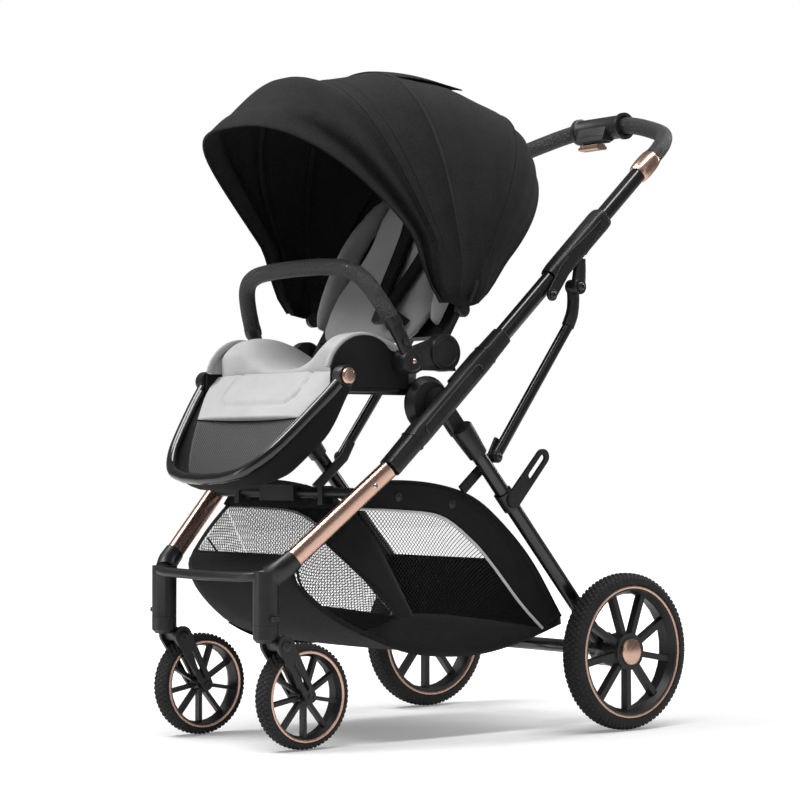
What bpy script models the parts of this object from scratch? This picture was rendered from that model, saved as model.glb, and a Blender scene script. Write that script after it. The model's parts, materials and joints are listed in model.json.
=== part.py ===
"""Folding baby stroller: wheeled frame, telescopic handle, lift-off seat unit, basket and canopy.

Axes: +X is the stroller's left, -Y is forward, +Z is up, and the wheels stand on z = 0.
Layout numbers are in metres. "Rail" is the straight sloping side tube from the hub to the handle.
"""
import math

import bmesh
import bpy
from mathutils import Matrix, Vector

# ---- driving dimensions ---------------------------------------------------------------------
LAYOUT_SHIFT = -0.04227       # moves the whole layout along Y so the origin is under its middle
GAP = 0.0004                  # clearance between pieces that touch
SIDE_X = 0.206                # middle of each side frame
RAIL_FOOT = (-0.1895, 0.4250)   # (y, z) where the gold front tube meets the hub housing
RAIL_ANGLE = math.radians(42.5)
FRONT_FOOT = Vector((0.160, -0.336, 0.290))   # lower end of the left gold tube

HUB = (-0.080, 0.526)         # rear leg pivot
SEAT_MOUNT = (-0.090, 0.525)  # middle of the seat mount disc
KNUCKLE = (0.134, 0.703)      # handle fold pivot
ELBOW = (0.200, 0.720)        # upper stay pivot, on the handle section
STAY_FOOT = (0.032, 0.443)    # lower stay pivot, on the rear leg
REAR_AXLE = (0.2667, 0.1272)
REAR_WHEEL = dict(x=0.251, radius=0.1272, half_width=0.0202)
FRONT_WHEEL = dict(x=0.136, y=-0.303, radius=0.0809, half_width=0.0161)
CASTER_Y = -0.371
FORK_BOLT = (-0.350, 0.160)
PILLAR_FOOT_Z = 0.1905
TYRE_FACETS = 32
GRIP_MIDDLE = 0.8850

FOOTREST_PIVOT = (-0.259, 0.565)
FOOTREST_ANGLE = math.radians(229.6)
BUMPER_PIVOT = (-0.134, 0.590)
BUMPER_ANGLE = math.radians(117)
RECLINE_PIVOT = (-0.060, 0.606)
RECLINE_ANGLE = math.radians(58)
CANOPY_PIVOT = (-0.032, 0.675)
CANOPY_POWER = 2.4            # roundness of the bows: 2 is an ellipse

RAIL_DIR = Vector((0, math.cos(RAIL_ANGLE), math.sin(RAIL_ANGLE)))
RAIL_NORMAL = Vector((0, -math.sin(RAIL_ANGLE), math.cos(RAIL_ANGLE)))
LEG_VECTOR = Vector((0, REAR_AXLE[0] - HUB[0], REAR_AXLE[1] - HUB[1]))
LEG_LENGTH = LEG_VECTOR.length
LEG_DIR = LEG_VECTOR.normalized()
X_AXIS = Vector((1, 0, 0))
Z_AXIS = Vector((0, 0, 1))


# ---- points on the layout -------------------------------------------------------------------
def rail(s, off=0.0, x=SIDE_X):
    """A point s along the rail from its foot, off above it, in the plane x."""
    return Vector((x, RAIL_FOOT[0], RAIL_FOOT[1])) + s * RAIL_DIR + off * RAIL_NORMAL


def leg(distance, x=SIDE_X):
    """A point on the rear leg's axis, measured from the hub pivot."""
    return Vector((x, HUB[0], HUB[1])) + distance * LEG_DIR


def inclined(pivot, angle, x, t, off=0.0):
    """A point t along a plane through pivot, off to its upper side."""
    along = Vector((0, math.cos(angle), math.sin(angle)))
    normal = Vector((0, -math.sin(angle), math.cos(angle)))
    return Vector((x, pivot[0], pivot[1])) + t * along + off * normal


def at(point, x):
    """The (y, z) point moved out to x."""
    return Vector((x, point[0], point[1]))


# ---- mesh builders: each returns a bmesh ------------------------------------------------------
def skin(rings, closed_loop=False):
    """Joins equal rings of points into one closed body."""
    bm = bmesh.new()
    rows = [[bm.verts.new(p) for p in ring] for ring in rings]
    count = len(rings[0])
    spans = len(rows) if closed_loop else len(rows) - 1
    for i in range(spans):
        row, following = rows[i], rows[(i + 1) % len(rows)]
        for j in range(count):
            k = (j + 1) % count
            bm.faces.new((row[j], row[k], following[k], following[j]))
    if not closed_loop:
        bm.faces.new(rows[0][::-1])
        bm.faces.new(rows[-1])
    bmesh.ops.recalc_face_normals(bm, faces=bm.faces)
    return bm


def section(half_a, half_b, sides, power):
    """A closed superellipse outline: power 2 is an ellipse, 4 or more a rounded box."""
    points = []
    for i in range(sides):
        angle = 2 * math.pi * (i + 0.5) / sides
        c, s = math.cos(angle), math.sin(angle)
        points.append((half_a * math.copysign(abs(c) ** (2 / power), c),
                       half_b * math.copysign(abs(s) ** (2 / power), s)))
    return points


def sweep(path, sizes, lateral=X_AXIS, sides=12, power=2.0):
    """A bar along path. sizes is (half across lateral, half the other way), or one pair a point."""
    if isinstance(sizes, tuple):
        sizes = [sizes] * len(path)
    rings = []
    for i, point in enumerate(path):
        tangent = (path[min(i + 1, len(path) - 1)] - path[max(i - 1, 0)]).normalized()
        across = (lateral - lateral.dot(tangent) * tangent).normalized()
        other = tangent.cross(across)
        rings.append([point + a * across + b * other
                      for a, b in section(sizes[i][0], sizes[i][1], sides, power)])
    return skin(rings)


def smooth(points, steps):
    """A Catmull-Rom curve through points, with steps pieces between each two."""
    extended = [2 * points[0] - points[1]] + list(points) + [2 * points[-1] - points[-2]]
    curve = []
    for i in range(1, len(extended) - 2):
        a, b, c, d = extended[i - 1:i + 3]
        for k in range(steps):
            t = k / steps
            curve.append(0.5 * (2 * b + (c - a) * t + (2 * a - 5 * b + 4 * c - d) * t * t
                                + (3 * b - 3 * c + d - a) * t ** 3))
    return curve + [points[-1]]


def mirrored_path(points):
    """A left half path, from its end to the middle, and its mirror image after it."""
    return list(points) + [Vector((-p.x, p.y, p.z)) for p in reversed(points[:-1])]


def turned(profile, centre, segments, closed=False, axis="X"):
    """A body of revolution from (along, radius) points, with a flat facet at its foot.
    An open profile ends on its axis."""
    bm = bmesh.new()
    rows = []
    for along, radius in profile:
        ring = []
        for i in range(1 if radius == 0 else segments):
            angle = 2 * math.pi * (i + 0.5) / segments
            c, s = radius * math.cos(angle), radius * math.sin(angle)
            offset = Vector((along, c, s)) if axis == "X" else Vector((c, s, along))
            ring.append(bm.verts.new(centre + offset))
        rows.append(ring)
    pairs = list(zip(rows, rows[1:])) + ([(rows[-1], rows[0])] if closed else [])
    for row, following in pairs:
        for i in range(segments):
            j = (i + 1) % segments
            corners = [row[i % len(row)], row[j % len(row)],
                       following[j % len(following)], following[i % len(following)]]
            bm.faces.new(list(dict.fromkeys(corners)))
    bmesh.ops.recalc_face_normals(bm, faces=bm.faces)
    return bm


def rod(centre, radius, low, high, segments=16, axis="X"):
    """A plain cylinder about the axis through centre."""
    return turned([(low, 0), (low, radius), (high, radius), (high, 0)], centre, segments, False, axis)


def plate(outline, x_low, x_high):
    """A (y, z) outline extruded along X."""
    return skin([[Vector((x, y, z)) for y, z in outline] for x in (x_low, x_high)])


def block(low, high):
    """A box from its lowest to its highest corner."""
    outline = [(low[1], low[2]), (high[1], low[2]), (high[1], high[2]), (low[1], high[2])]
    return plate(outline, low[0], high[0])


def arc(centre, radius, start, end, count):
    """Points on a (y, z) arc; the angles are in degrees from +Y."""
    angles = [math.radians(start + (end - start) * i / (count - 1)) for i in range(count)]
    return [(centre[0] + radius * math.cos(a), centre[1] + radius * math.sin(a)) for a in angles]


def inset(outline, distance):
    """A counter-clockwise outline moved inwards by distance."""
    result = []
    for i, point in enumerate(outline):
        before = Vector(outline[i - 1])
        here = Vector(point)
        after = Vector(outline[(i + 1) % len(outline)])
        first, second = (here - before).normalized(), (after - here).normalized()
        normal = Vector((-first.y - second.y, first.x + second.x)).normalized()
        scale = distance / max(0.4, normal.dot(Vector((-first.y, first.x))))
        result.append(tuple(here + normal * scale))
    return result


# ---- objects ----------------------------------------------------------------------------------
def material(name, colour, roughness, metallic=0.0):
    result = bpy.data.materials.new(name)
    result.use_nodes = True
    shader = result.node_tree.nodes["Principled BSDF"]
    shader.inputs["Base Color"].default_value = (*colour, 1.0)
    shader.inputs["Roughness"].default_value = roughness
    shader.inputs["Metallic"].default_value = metallic
    return result


def temporary(bm):
    mesh = bpy.data.meshes.new("temporary")
    bm.to_mesh(mesh)
    bm.free()
    result = bpy.data.objects.new("temporary", mesh)
    bpy.context.collection.objects.link(result)
    return result


def combine(solids, cuts=()):
    """Unites the solids and takes the cuts away, and returns one bmesh."""
    base, *others = [temporary(bm) for bm in solids]
    helpers = [(obj, "UNION") for obj in others] + [(temporary(bm), "DIFFERENCE") for bm in cuts]
    for obj, operation in helpers:
        modifier = base.modifiers.new(operation, "BOOLEAN")
        modifier.operation = operation
        modifier.solver = "EXACT"
        modifier.object = obj
    evaluated = base.evaluated_get(bpy.context.evaluated_depsgraph_get())
    result = bmesh.new()
    result.from_mesh(evaluated.to_mesh())
    evaluated.to_mesh_clear()
    for obj in [base] + [obj for obj, _ in helpers]:
        bpy.data.objects.remove(obj)
    bmesh.ops.remove_doubles(result, verts=result.verts, dist=1e-6)
    return result


def piece(name, bm, finish, pivot=None):
    """Makes the named object, with its origin on pivot."""
    origin = Vector((0, 0, 0)) if pivot is None else Vector(pivot)
    bmesh.ops.translate(bm, verts=bm.verts, vec=-origin)
    bmesh.ops.triangulate(bm, faces=[f for f in bm.faces if len(f.verts) > 4])
    mesh = bpy.data.meshes.new(name)
    bm.to_mesh(mesh)
    bm.free()
    mesh.materials.append(finish)
    mesh.shade_smooth()
    mesh.set_sharp_from_angle(angle=math.radians(35))
    obj = bpy.data.objects.new(name, mesh)
    obj.location = origin
    obj.parent = ROOT
    bpy.context.collection.objects.link(obj)
    return obj


def pair(name, build, finish, pivot=None):
    """Makes a left piece with build(), and its mirror image on the right."""
    for side, sign in (("left", 1), ("right", -1)):
        bm = build()
        if sign < 0:
            bmesh.ops.scale(bm, verts=bm.verts, vec=(-1, 1, 1))
            bmesh.ops.reverse_faces(bm, faces=bm.faces)
        origin = None if pivot is None else (sign * pivot[0], pivot[1], pivot[2])
        piece(f"{name}_{side}", bm, finish, origin)


# ---- chassis ----------------------------------------------------------------------------------
def front_tube():
    start, end = FRONT_FOOT, rail(0)
    step = (end - start).normalized()
    tube = sweep([start + GAP * step, end + 0.010 * step], (0.0115, 0.0150), sides=12)
    socket = sweep([rail(-GAP), rail(0.050)], (0.04, 0.04), sides=4, power=40)
    return combine([tube], [socket])


def hub_housing():
    stations = [(0.0, 0.0160, 0.0155), (0.060, 0.0165, 0.0165), (0.075, 0.0165, 0.0180),
                (0.250, 0.0165, 0.0180), (0.270, 0.0160, 0.0160), (0.311, 0.0145, 0.0150)]
    shell = sweep([rail(s) for s, _, _ in stations], [(a, b) for _, a, b in stations],
                  sides=12, power=3.5)
    hub_s = (at(HUB, SIDE_X) - rail(0)).dot(RAIL_DIR)
    notch = sweep([rail(hub_s - 0.052, x=0.193), rail(hub_s + 0.036, x=0.193)],
                  (0.0125, 0.030), sides=4, power=40)
    return combine([shell], [notch])


def push_tube():
    return sweep([rail(0.311 + GAP), rail(0.4525)], (0.0120, 0.0140), sides=12)


def seat_mount():
    profile = [(0.1725, 0), (0.1725, 0.044), (0.1780, 0.044), (0.1885, 0.036), (0.1885, 0)]
    pin = rod(at(HUB, 0), 0.008, 0.185, 0.2051, segments=16)
    return combine([turned(profile, at(SEAT_MOUNT, 0), 28), pin])


def front_bridge():
    """Two caster pillars, sockets for the gold tubes, and the bar that joins them."""
    corner = [Vector((0.152, -0.350, 0.279)), Vector((0.143, -0.366, 0.270)),
              Vector((0.126, -0.382, 0.264)), Vector((0.100, -0.389, 0.262))]
    bar = mirrored_path(smooth(corner, 3) + [Vector((0, -0.390, 0.261))])
    solids = [sweep(bar, (0.0075, 0.0105), lateral=Z_AXIS, sides=12, power=2.6)]
    for sign in (1, -1):
        foot = Vector((sign * FRONT_FOOT.x, FRONT_FOOT.y, FRONT_FOOT.z))
        up = Vector((sign * (rail(0) - FRONT_FOOT).x, *(rail(0) - FRONT_FOOT).yz)).normalized()
        pillar_top = Vector((sign * 0.139, -0.366, 0.262))
        solids.append(sweep([foot, foot - 0.022 * up, pillar_top],
                            [(0.0145, 0.0170), (0.0150, 0.0180), (0.0165, 0.0190)], sides=12))
        solids.append(rod(Vector((sign * FRONT_WHEEL["x"], CASTER_Y, 0)), 0.0195,
                          PILLAR_FOOT_Z, 0.271, segments=18, axis="Z"))
    return combine(solids)


def fold_crossbar():
    centre = Vector((0, -0.238, 0.387))
    bar = rod(centre, 0.0085, -0.1770, 0.1770, segments=14)
    lock = block(centre + Vector((-0.045, -0.014, -0.013)), centre + Vector((0.045, 0.013, 0.0125)))
    ears = [block(centre + Vector((x - 0.006, -0.012, -0.018)), centre + Vector((x + 0.006, 0.011, 0.011)))
            for x in (-0.11, 0.11)]
    return combine([bar, lock] + ears)


def basket():
    """An open-topped bag. Its sides are mesh, and its back slopes up between them to the opening."""
    bottom = [(-0.222, 0.362), (-0.300, 0.300), (-0.317, 0.278), (-0.305, 0.243), (-0.271, 0.207),
              (-0.215, 0.172), (-0.148, 0.145), (-0.095, 0.133), (0.040, 0.133), (0.100, 0.147),
              (0.150, 0.158), (0.188, 0.172), (0.122, 0.274)]
    outline = bottom + [(0.055, 0.336), (-0.008, 0.378), (-0.090, 0.399), (-0.181, 0.405)]
    half_width, wall = 0.184, 0.003
    mouth = [(0.112, 0.45), (-0.205, 0.45)]
    inside = plate(inset(bottom, wall) + mouth, wall - half_width, half_width - wall)
    bm = combine([plate(outline, -half_width, half_width)], [inside])
    for vert in bm.verts:                      # the bag narrows between the gold tubes
        narrowing = min(1.0, max(0.0, (-0.190 - vert.co.y) / 0.128))
        vert.co.x *= 1.0 - 0.235 * narrowing
    bmesh.ops.triangulate(bm, faces=bm.faces)
    return bm


# ---- rear legs and wheels -----------------------------------------------------------------------
def rear_leg():
    inner, outer = 0.1895, 0.2046
    middle, half = (inner + outer) / 2, (outer - inner) / 2
    head = rod(at(HUB, 0), 0.025, inner, outer, segments=16)
    neck = sweep([leg(0, middle), leg(0.060, middle)], (half, 0.0155), sides=12, power=6)
    socket = sweep([leg(0.050), leg(0.072), leg(0.088)],
                   [(0.0165, 0.0165), (0.0160, 0.0160), (0.0145, 0.0145)], sides=12, power=3.5)
    tube = sweep([leg(0.080), leg(LEG_LENGTH - 0.0275)], (0.0120, 0.0120), sides=14)
    bracket_x = 0.1896
    bracket = sweep([at((0.047, 0.470), bracket_x), at(STAY_FOOT, bracket_x),
                     at((-0.030, 0.390), bracket_x)], (0.0032, 0.0085), sides=8, power=6)
    weld = rod(at((0.0087, 0.4232), 0), 0.0075, 0.1880, 0.2020, segments=12)
    bore = rod(at(HUB, 0), 0.0084, 0.18, 0.21, segments=18)
    return combine([head, neck, socket, tube, bracket, weld], [bore])


def rear_axle_bar():
    centre = at(REAR_AXLE, 0)
    profile = [(-0.257, 0), (-0.257, 0.006), (-0.2285, 0.006), (-0.2285, 0.024), (-0.222, 0.0265),
               (-0.196, 0.0265), (-0.190, 0.011)]
    profile += [(-along, radius) for along, radius in reversed(profile)]
    return turned(profile, centre, 24)


def fold_hook():
    """Storage latch on the left leg: a sleeve round the tube and a slotted plate."""
    base = leg(0.200).yz
    tip = Vector((0.113, 0.443))
    along = (tip - base).normalized()
    angle = math.degrees(math.atan2(along.y, along.x))
    outline = arc(tip, 0.0125, angle - 90, angle + 90, 9) + arc(base, 0.0135, angle + 90, angle + 270, 9)
    sleeve = sweep([leg(0.184), leg(0.216)], (0.0155, 0.0155), sides=12)
    bore = sweep([leg(0.170), leg(0.230)], (0.0127, 0.0127), sides=14)
    slot_low, slot_high = base.lerp(tip, 0.56), base.lerp(tip, 0.98)
    slot = arc(slot_high, 0.0052, angle - 90, angle + 90, 7)
    slot += arc(slot_low, 0.0052, angle + 90, angle + 270, 7)
    return combine([sleeve, plate(outline, 0.2185, 0.2240)], [bore, plate(slot, 0.20, 0.24)])


def brake_pedal():
    """A foot plate behind the axle bar, hinged on it."""
    y, z = REAR_AXLE
    outline = [(y + 0.0125, z - 0.006), (y + 0.020, z - 0.009), (y + 0.050, z + 0.014),
               (y + 0.055, z + 0.022), (y + 0.050, z + 0.024), (y + 0.0125, z + 0.007)]
    return plate(outline, 0.105, 0.165)


def tyre(x, centre, radius, half_width, bead):
    left = [(-0.86, 0.0), (-1.0, 0.45), (-0.86, 0.80), (-0.60, 0.96), (-0.25, 1.0)]
    depth = radius / math.cos(math.pi / TYRE_FACETS) - bead
    outline = left + [(-a, r) for a, r in reversed(left)]
    profile = [(x + a * half_width, bead + r * depth) for a, r in outline]
    return turned(profile, centre, TYRE_FACETS, closed=True)


def rim(x, centre, outer, hub, bore, depth, thick):
    """A ring, nine spokes and a hub."""
    ring = [(x - depth, outer), (x + depth, outer), (x + depth, outer - thick),
            (x + 0.35 * depth, outer - 1.8 * thick), (x - depth, outer - 1.3 * thick)]
    spokes = []
    for i in range(9):
        bm = block(Vector((x - 0.2 * depth, -0.045 * outer, 0.5 * hub)),
                   Vector((x + 0.55 * depth, 0.045 * outer, outer - 1.2 * thick)))
        turn = Matrix.Translation(centre) @ Matrix.Rotation(2 * math.pi * (i + 0.5) / 9, 4, "X")
        bmesh.ops.transform(bm, matrix=turn, verts=bm.verts)
        spokes.append(bm)
    core = rod(centre, hub, x - depth, x + 0.75 * depth, segments=18)
    hole = rod(centre, bore, x - 2 * depth, x + (0.45 if hub > 0.02 else 2.0) * depth, segments=16)
    return combine([turned(ring, centre, 32, closed=True), core] + spokes, [hole])


def rear_cap():
    face = REAR_WHEEL["x"] + 0.75 * 0.018 + GAP
    profile = [(face, 0), (face, 0.0215), (face + 0.003, 0.021), (face + 0.0055, 0.016), (face + 0.006, 0)]
    return turned(profile, at(REAR_AXLE, 0), 28)


# ---- casters ------------------------------------------------------------------------------------
def swivel_head():
    x = FRONT_WHEEL["x"]
    post = turned([(0.164, 0), (0.164, 0.014), (0.170, 0.0195), (PILLAR_FOOT_Z - GAP, 0.0195),
                   (PILLAR_FOOT_Z - GAP, 0)], Vector((x, CASTER_Y, 0)), 24, axis="Z")
    eye = rod(at(FORK_BOLT, x), 0.0100, -0.0160, 0.0160, segments=16)
    web = sweep([Vector((x, -0.368, 0.176)), at(FORK_BOLT, x)], (0.0150, 0.0085), sides=12, power=4)
    hole = rod(at(FORK_BOLT, x), 0.0056, -0.03, 0.03, segments=16)
    return combine([post, eye, web], [hole])


def front_fork():
    """Two arms outside the wheel, the bolt they hang on and the axle."""
    x = FRONT_WHEEL["x"]
    top, bottom = Vector(FORK_BOLT), Vector((FRONT_WHEEL["y"], FRONT_WHEEL["radius"]))
    angle = math.degrees(math.atan2(*(bottom - top).yx))
    outline = arc(bottom, 0.0095, angle - 90, angle + 90, 7) + arc(top, 0.0155, angle + 90, angle + 270, 9)
    slot = (arc(top.lerp(bottom, 0.84), 0.0028, angle - 90, angle + 90, 5)
            + arc(top.lerp(bottom, 0.36), 0.0032, angle + 90, angle + 270, 5))
    arms = [plate(outline, x + low, x + low + 0.0065) for low in (0.0175, -0.0240)]
    pins = [rod(at(FORK_BOLT, x), 0.0052, -0.020, 0.020, segments=14),
            rod(at(bottom, x), 0.0042, -0.020, 0.020, segments=14)]
    return combine(arms + pins, [plate(slot, x - 0.05, x + 0.05)])


def swivel_lock():
    low = Vector((FRONT_WHEEL["x"] + 0.0200, CASTER_Y - 0.007, 0.197))
    high = Vector((FRONT_WHEEL["x"] + 0.0300, CASTER_Y + 0.007, 0.204))
    return block(low, high)


# ---- handle -------------------------------------------------------------------------------------
def upper_connector():
    stations = [(0.453, 0.0150, 0.0155), (0.470, 0.0160, 0.0175), (0.600, 0.0165, 0.0180),
                (0.611, 0.0155, 0.0165)]
    sizes = [(a, b) for _, a, b in stations]
    shell = sweep([rail(s) for s, _, _ in stations], sizes, sides=12, power=3.5)
    lug_x, lug_half = 0.2133, 0.0060
    branch = sweep([rail(0.514, -0.010, lug_x), at(ELBOW, lug_x)],
                   [(lug_half, 0.0165), (lug_half, 0.0130)], sides=12, power=6)
    knob = rod(at(ELBOW, 0), 0.0130, lug_x - lug_half, lug_x + lug_half, segments=18)
    ear = sweep([rail(0.475, 0, 0.2215), at(KNUCKLE, 0.2215)],
                [(0.0018, 0.0120), (0.0018, 0.0100)], sides=8, power=6)
    rivet = rod(at(KNUCKLE, 0), 0.0100, 0.2197, 0.2240, segments=16)
    bore = sweep([rail(0.458), rail(0.640)], (0.0139, 0.0139), sides=14)
    return combine([shell, branch, knob, ear, rivet], [bore])


def stay():
    x = 0.200
    bend = [at(p, x) for p in (ELBOW, (0.2015, 0.698), (0.1985, 0.676), (0.189, 0.655))]
    path = smooth(bend, 2) + [at(STAY_FOOT, x)]
    sizes = [(0.0065, 0.0110)] * (len(path) - 2) + [(0.0065, 0.0092)] * 2
    ends = [rod(at(ELBOW, x), 0.0120, -0.0065, 0.0065, segments=16),
            rod(at(STAY_FOOT, x), 0.0098, -0.0065, 0.0065, segments=16)]
    return combine([sweep(path, sizes, sides=12, power=2.6)] + ends)


def handle_tube():
    return sweep([rail(0.552), rail(0.722)], (0.0135, 0.0135), sides=14)


def handle_cap():
    stations = [(0.722 + GAP, 0.0150), (0.728, 0.0172), (0.748, 0.0180), (0.769, 0.0165)]
    return sweep([rail(s) for s, _ in stations], [(r, r) for _, r in stations], sides=14)


def handle_grip():
    corner = [(0.206, 0.769 + GAP), (0.2055, 0.792), (0.200, 0.814), (0.187, 0.833), (0.160, 0.849),
              (0.110, 0.870), (0.068, 0.8838)]
    path = mirrored_path(smooth([rail(s, 0, x) for x, s in corner], 2) + [rail(GRIP_MIDDLE, 0, 0)])
    return sweep(path, (0.0145, 0.0145), lateral=RAIL_NORMAL, sides=12)


def handle_lock_housing():
    centre = rail(GRIP_MIDDLE - 0.001, 0, 0)
    profile = [(-0.058, 0.0172), (-0.058, 0.0235), (-0.052, 0.0235), (-0.050, 0.0205), (0.050, 0.0205),
               (0.052, 0.0235), (0.058, 0.0235), (0.058, 0.0172)]
    sleeve = turned(profile, centre, 28, closed=True)
    hood = sweep([centre + Vector((-0.034, -0.015, -0.019)), centre + Vector((0.026, -0.015, -0.019))],
                 (0.0085, 0.0110), lateral=Z_AXIS, sides=12, power=5)
    bore = rod(centre, 0.0172, -0.07, 0.07, segments=16)
    return combine([sleeve, hood], [bore])


def handle_trigger():
    centre = rail(GRIP_MIDDLE - 0.001, 0, 0) + Vector((-0.006, -0.018, -0.0355))
    return sweep([centre - 0.024 * X_AXIS, centre + 0.024 * X_AXIS], (0.0035, 0.0120), lateral=Z_AXIS,
                 sides=12, power=4)


# ---- seat unit ------------------------------------------------------------------------------------
def seat_frame():
    """A rail round the underside and the pan it carries."""
    corner = [(0.158, -0.062), (0.158, -0.240), (0.150, -0.256), (0.136, -0.262), (0, -0.262)]
    path = mirrored_path([Vector((x, y, 0.5435)) for x, y in corner])
    rails = sweep(path, (0.0055, 0.0055), lateral=Z_AXIS, sides=10)
    pan = block(Vector((-0.1625, -0.262, 0.5460)), Vector((0.1625, -0.062, 0.5560)))
    return combine([rails, pan])


def seat_pad():
    half = [(0.1615, 0.5565), (0.1615, 0.596), (0.145, 0.618), (0.120, 0.628), (0.096, 0.618),
            (0.070, 0.598), (0.040, 0.588)]
    outline = half + [(0, 0.585)] + [(-x, z) for x, z in reversed(half)]
    return skin([[Vector((x, y, z)) for x, z in outline] for y in (-0.252, -0.088)])


def side_guard():
    outline = [(-0.272, 0.549), (-0.118, 0.549), (-0.118, 0.575), (-0.135, 0.600)]
    outline += arc((-0.205, 0.560), 0.068, 42, 165, 11)
    return plate(outline, 0.1630, 0.1660)


def seat_bracket():
    """Carries the bumper boss and the recline knuckle, and stands on the seat mount."""
    boss, puck = BUMPER_PIVOT, RECLINE_PIVOT
    outline = ([(-0.104, 0.5775)] + [(-0.036, 0.5775)] + arc(puck, 0.026, -40, 110, 9)
               + arc(boss, 0.020, 80, 260, 9) + [(-0.120, 0.572)])
    disc = turned([(0.1665, 0), (0.1665, 0.0275), (0.1700, 0.0300), (0.1850, 0.0300), (0.1885, 0.0285),
                   (0.1885, 0)], at(puck, 0), 32)
    return combine([plate(outline, 0.1670, 0.1835), disc])


def backrest(t, off, x):
    return inclined(RECLINE_PIVOT, RECLINE_ANGLE, x, t, off)


def backrest_frame():
    """Side bars and a back panel that narrows towards the top."""
    corner = [(0.158, 0.0), (0.158, 0.16), (0.152, 0.22), (0.142, 0.29), (0.118, 0.36), (0.085, 0.395),
              (0.040, 0.405)]
    loop = mirrored_path([backrest(t, -0.004, x) for x, t in corner] + [backrest(0.406, -0.004, 0)])
    bars = sweep(loop, (0.0075, 0.0065), lateral=backrest(0, 1, 0) - backrest(0, 0, 0), sides=10, power=3)
    half = [(0.155, 0.030), (0.155, 0.16), (0.149, 0.22), (0.139, 0.29), (0.115, 0.357), (0.085, 0.390)]
    outline = half + [(-x, t) for x, t in reversed(half)]
    panel = skin([[backrest(t, off, x) for x, t in outline] for off in (-0.006, 0.004)])
    return combine([bars, panel])


def backrest_pad():
    half = [(0.120, 0.012), (0.138, 0.060), (0.136, 0.115), (0.120, 0.165), (0.118, 0.220), (0.124, 0.275),
            (0.112, 0.335), (0.080, 0.372), (0.040, 0.386)]
    outline = half + [(-x, t) for x, t in reversed(half)]
    return skin([[backrest(t, off, x) for x, t in outline] for off in (0.0085, 0.036)])


def harness():
    """Two padded shoulder straps that meet a waist strap and its buckle."""
    low, high = 0.0365, 0.0445
    half = [(0.020, 0.050), (0.060, 0.095), (0.060, 0.330), (0.090, 0.330), (0.090, 0.075), (0.045, 0.025)]
    outline = half + [(-x, t) for x, t in reversed(half)]
    return skin([[backrest(t, off, x) for x, t in outline] for off in (low, high)])


def footrest(t, off, x):
    return inclined(FOOTREST_PIVOT, FOOTREST_ANGLE, x, t, off)


def footrest_frame():
    corner = [(0.182, 0.0), (0.170, 0.050), (0.146, 0.120), (0.126, 0.160), (0.095, 0.190), (0.050, 0.203)]
    normal = footrest(0, 1, 0) - footrest(0, 0, 0)
    path = mirrored_path(smooth([footrest(t, 0, x) for x, t in corner], 2) + [footrest(0.206, 0, 0)])
    bosses = [rod(at(FOOTREST_PIVOT, sign * 0.182), 0.0165, -0.0095, 0.0095, segments=18)
              for sign in (1, -1)]
    recesses = [rod(at(FOOTREST_PIVOT, sign * 0.196), 0.0129, -0.0075, 0.0075, segments=16)
                for sign in (1, -1)]
    return combine([sweep(path, (0.0088, 0.0088), lateral=normal, sides=10)] + bosses, recesses)


def footrest_panel():
    """The calf pad: its front face tapers down into the foot of the frame."""
    front = [(0.150, -0.281, 0.566), (0.124, -0.312, 0.500), (0.075, -0.3800, 0.432)]
    back = [(0.150, -0.271, 0.562), (0.124, -0.282, 0.470), (0.075, -0.320, 0.405)]
    rings = []
    for (x, y0, z0), (_, y1, z1) in zip(front, back):
        rings.append([Vector((-x, y0, z0)), Vector((x, y0, z0)), Vector((x, y1, z1)), Vector((-x, y1, z1))])
    return skin(rings)


def footrest_button():
    x = 0.182 + 0.0095 + GAP
    return turned([(x, 0), (x, 0.0125), (x + 0.0025, 0.0125), (x + 0.0045, 0.0105), (x + 0.005, 0)],
                  at(FOOTREST_PIVOT, 0), 24)


def bumper_bar():
    corner = [(0.1912, 0.0), (0.187, 0.050), (0.171, 0.108), (0.150, 0.145), (0.116, 0.163), (0.060, 0.169)]
    normal = inclined(BUMPER_PIVOT, BUMPER_ANGLE, 0, 0, 1) - at(BUMPER_PIVOT, 0)
    points = [inclined(BUMPER_PIVOT, BUMPER_ANGLE, x, t) for x, t in corner]
    path = mirrored_path(smooth(points, 2) + [inclined(BUMPER_PIVOT, BUMPER_ANGLE, 0, 0.170)])
    count = len(path)
    sizes = [(0.0110, 0.0062) if i in (0, 1, count - 2, count - 1) else (0.0135, 0.0130)
             for i in range(count)]
    eyes = [rod(at(BUMPER_PIVOT, sign * 0.191), 0.0195, -0.0066, 0.0066, segments=18) for sign in (1, -1)]
    return combine([sweep(path, sizes, lateral=normal, sides=12)] + eyes)


# ---- canopy -----------------------------------------------------------------------------------------
def bow(half_width, height, angles, skip, count=15):
    """A bow about the canopy pivot. angles is its lean at the sides and at the top, in degrees, and
    skip is how many of its points are left out at each side."""
    limit = math.radians(88)
    side, top = angles
    points = []
    for i in range(skip, count - skip):
        a = limit * (1 - 2 * i / (count - 1))
        x = half_width * math.copysign(abs(math.sin(a)) ** (2 / CANOPY_POWER), math.sin(a))
        rise = math.cos(a) ** (2 / CANOPY_POWER)
        angle = math.radians(side + (top - side) * rise ** 2)
        points.append(inclined(CANOPY_PIVOT, angle, x, rise * height))
    return points


def canopy_shell(half_width, heights, start, end, skip=0, steps=4, wall=0.003):
    """A curved sheet from the bow at start to the bow at end; both are (side, top) angles."""
    rings = []
    for i in range(steps + 1):
        f = i / steps
        angles = (start[0] + f * (end[0] - start[0]), start[1] + f * (end[1] - start[1]))
        height = heights[0] + f * f * (heights[1] - heights[0])
        outside = bow(half_width, height, angles, skip)
        inside = bow(half_width - wall, height - wall, angles, skip)
        rings.append(outside + inside[::-1])
    return skin(rings)


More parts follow.
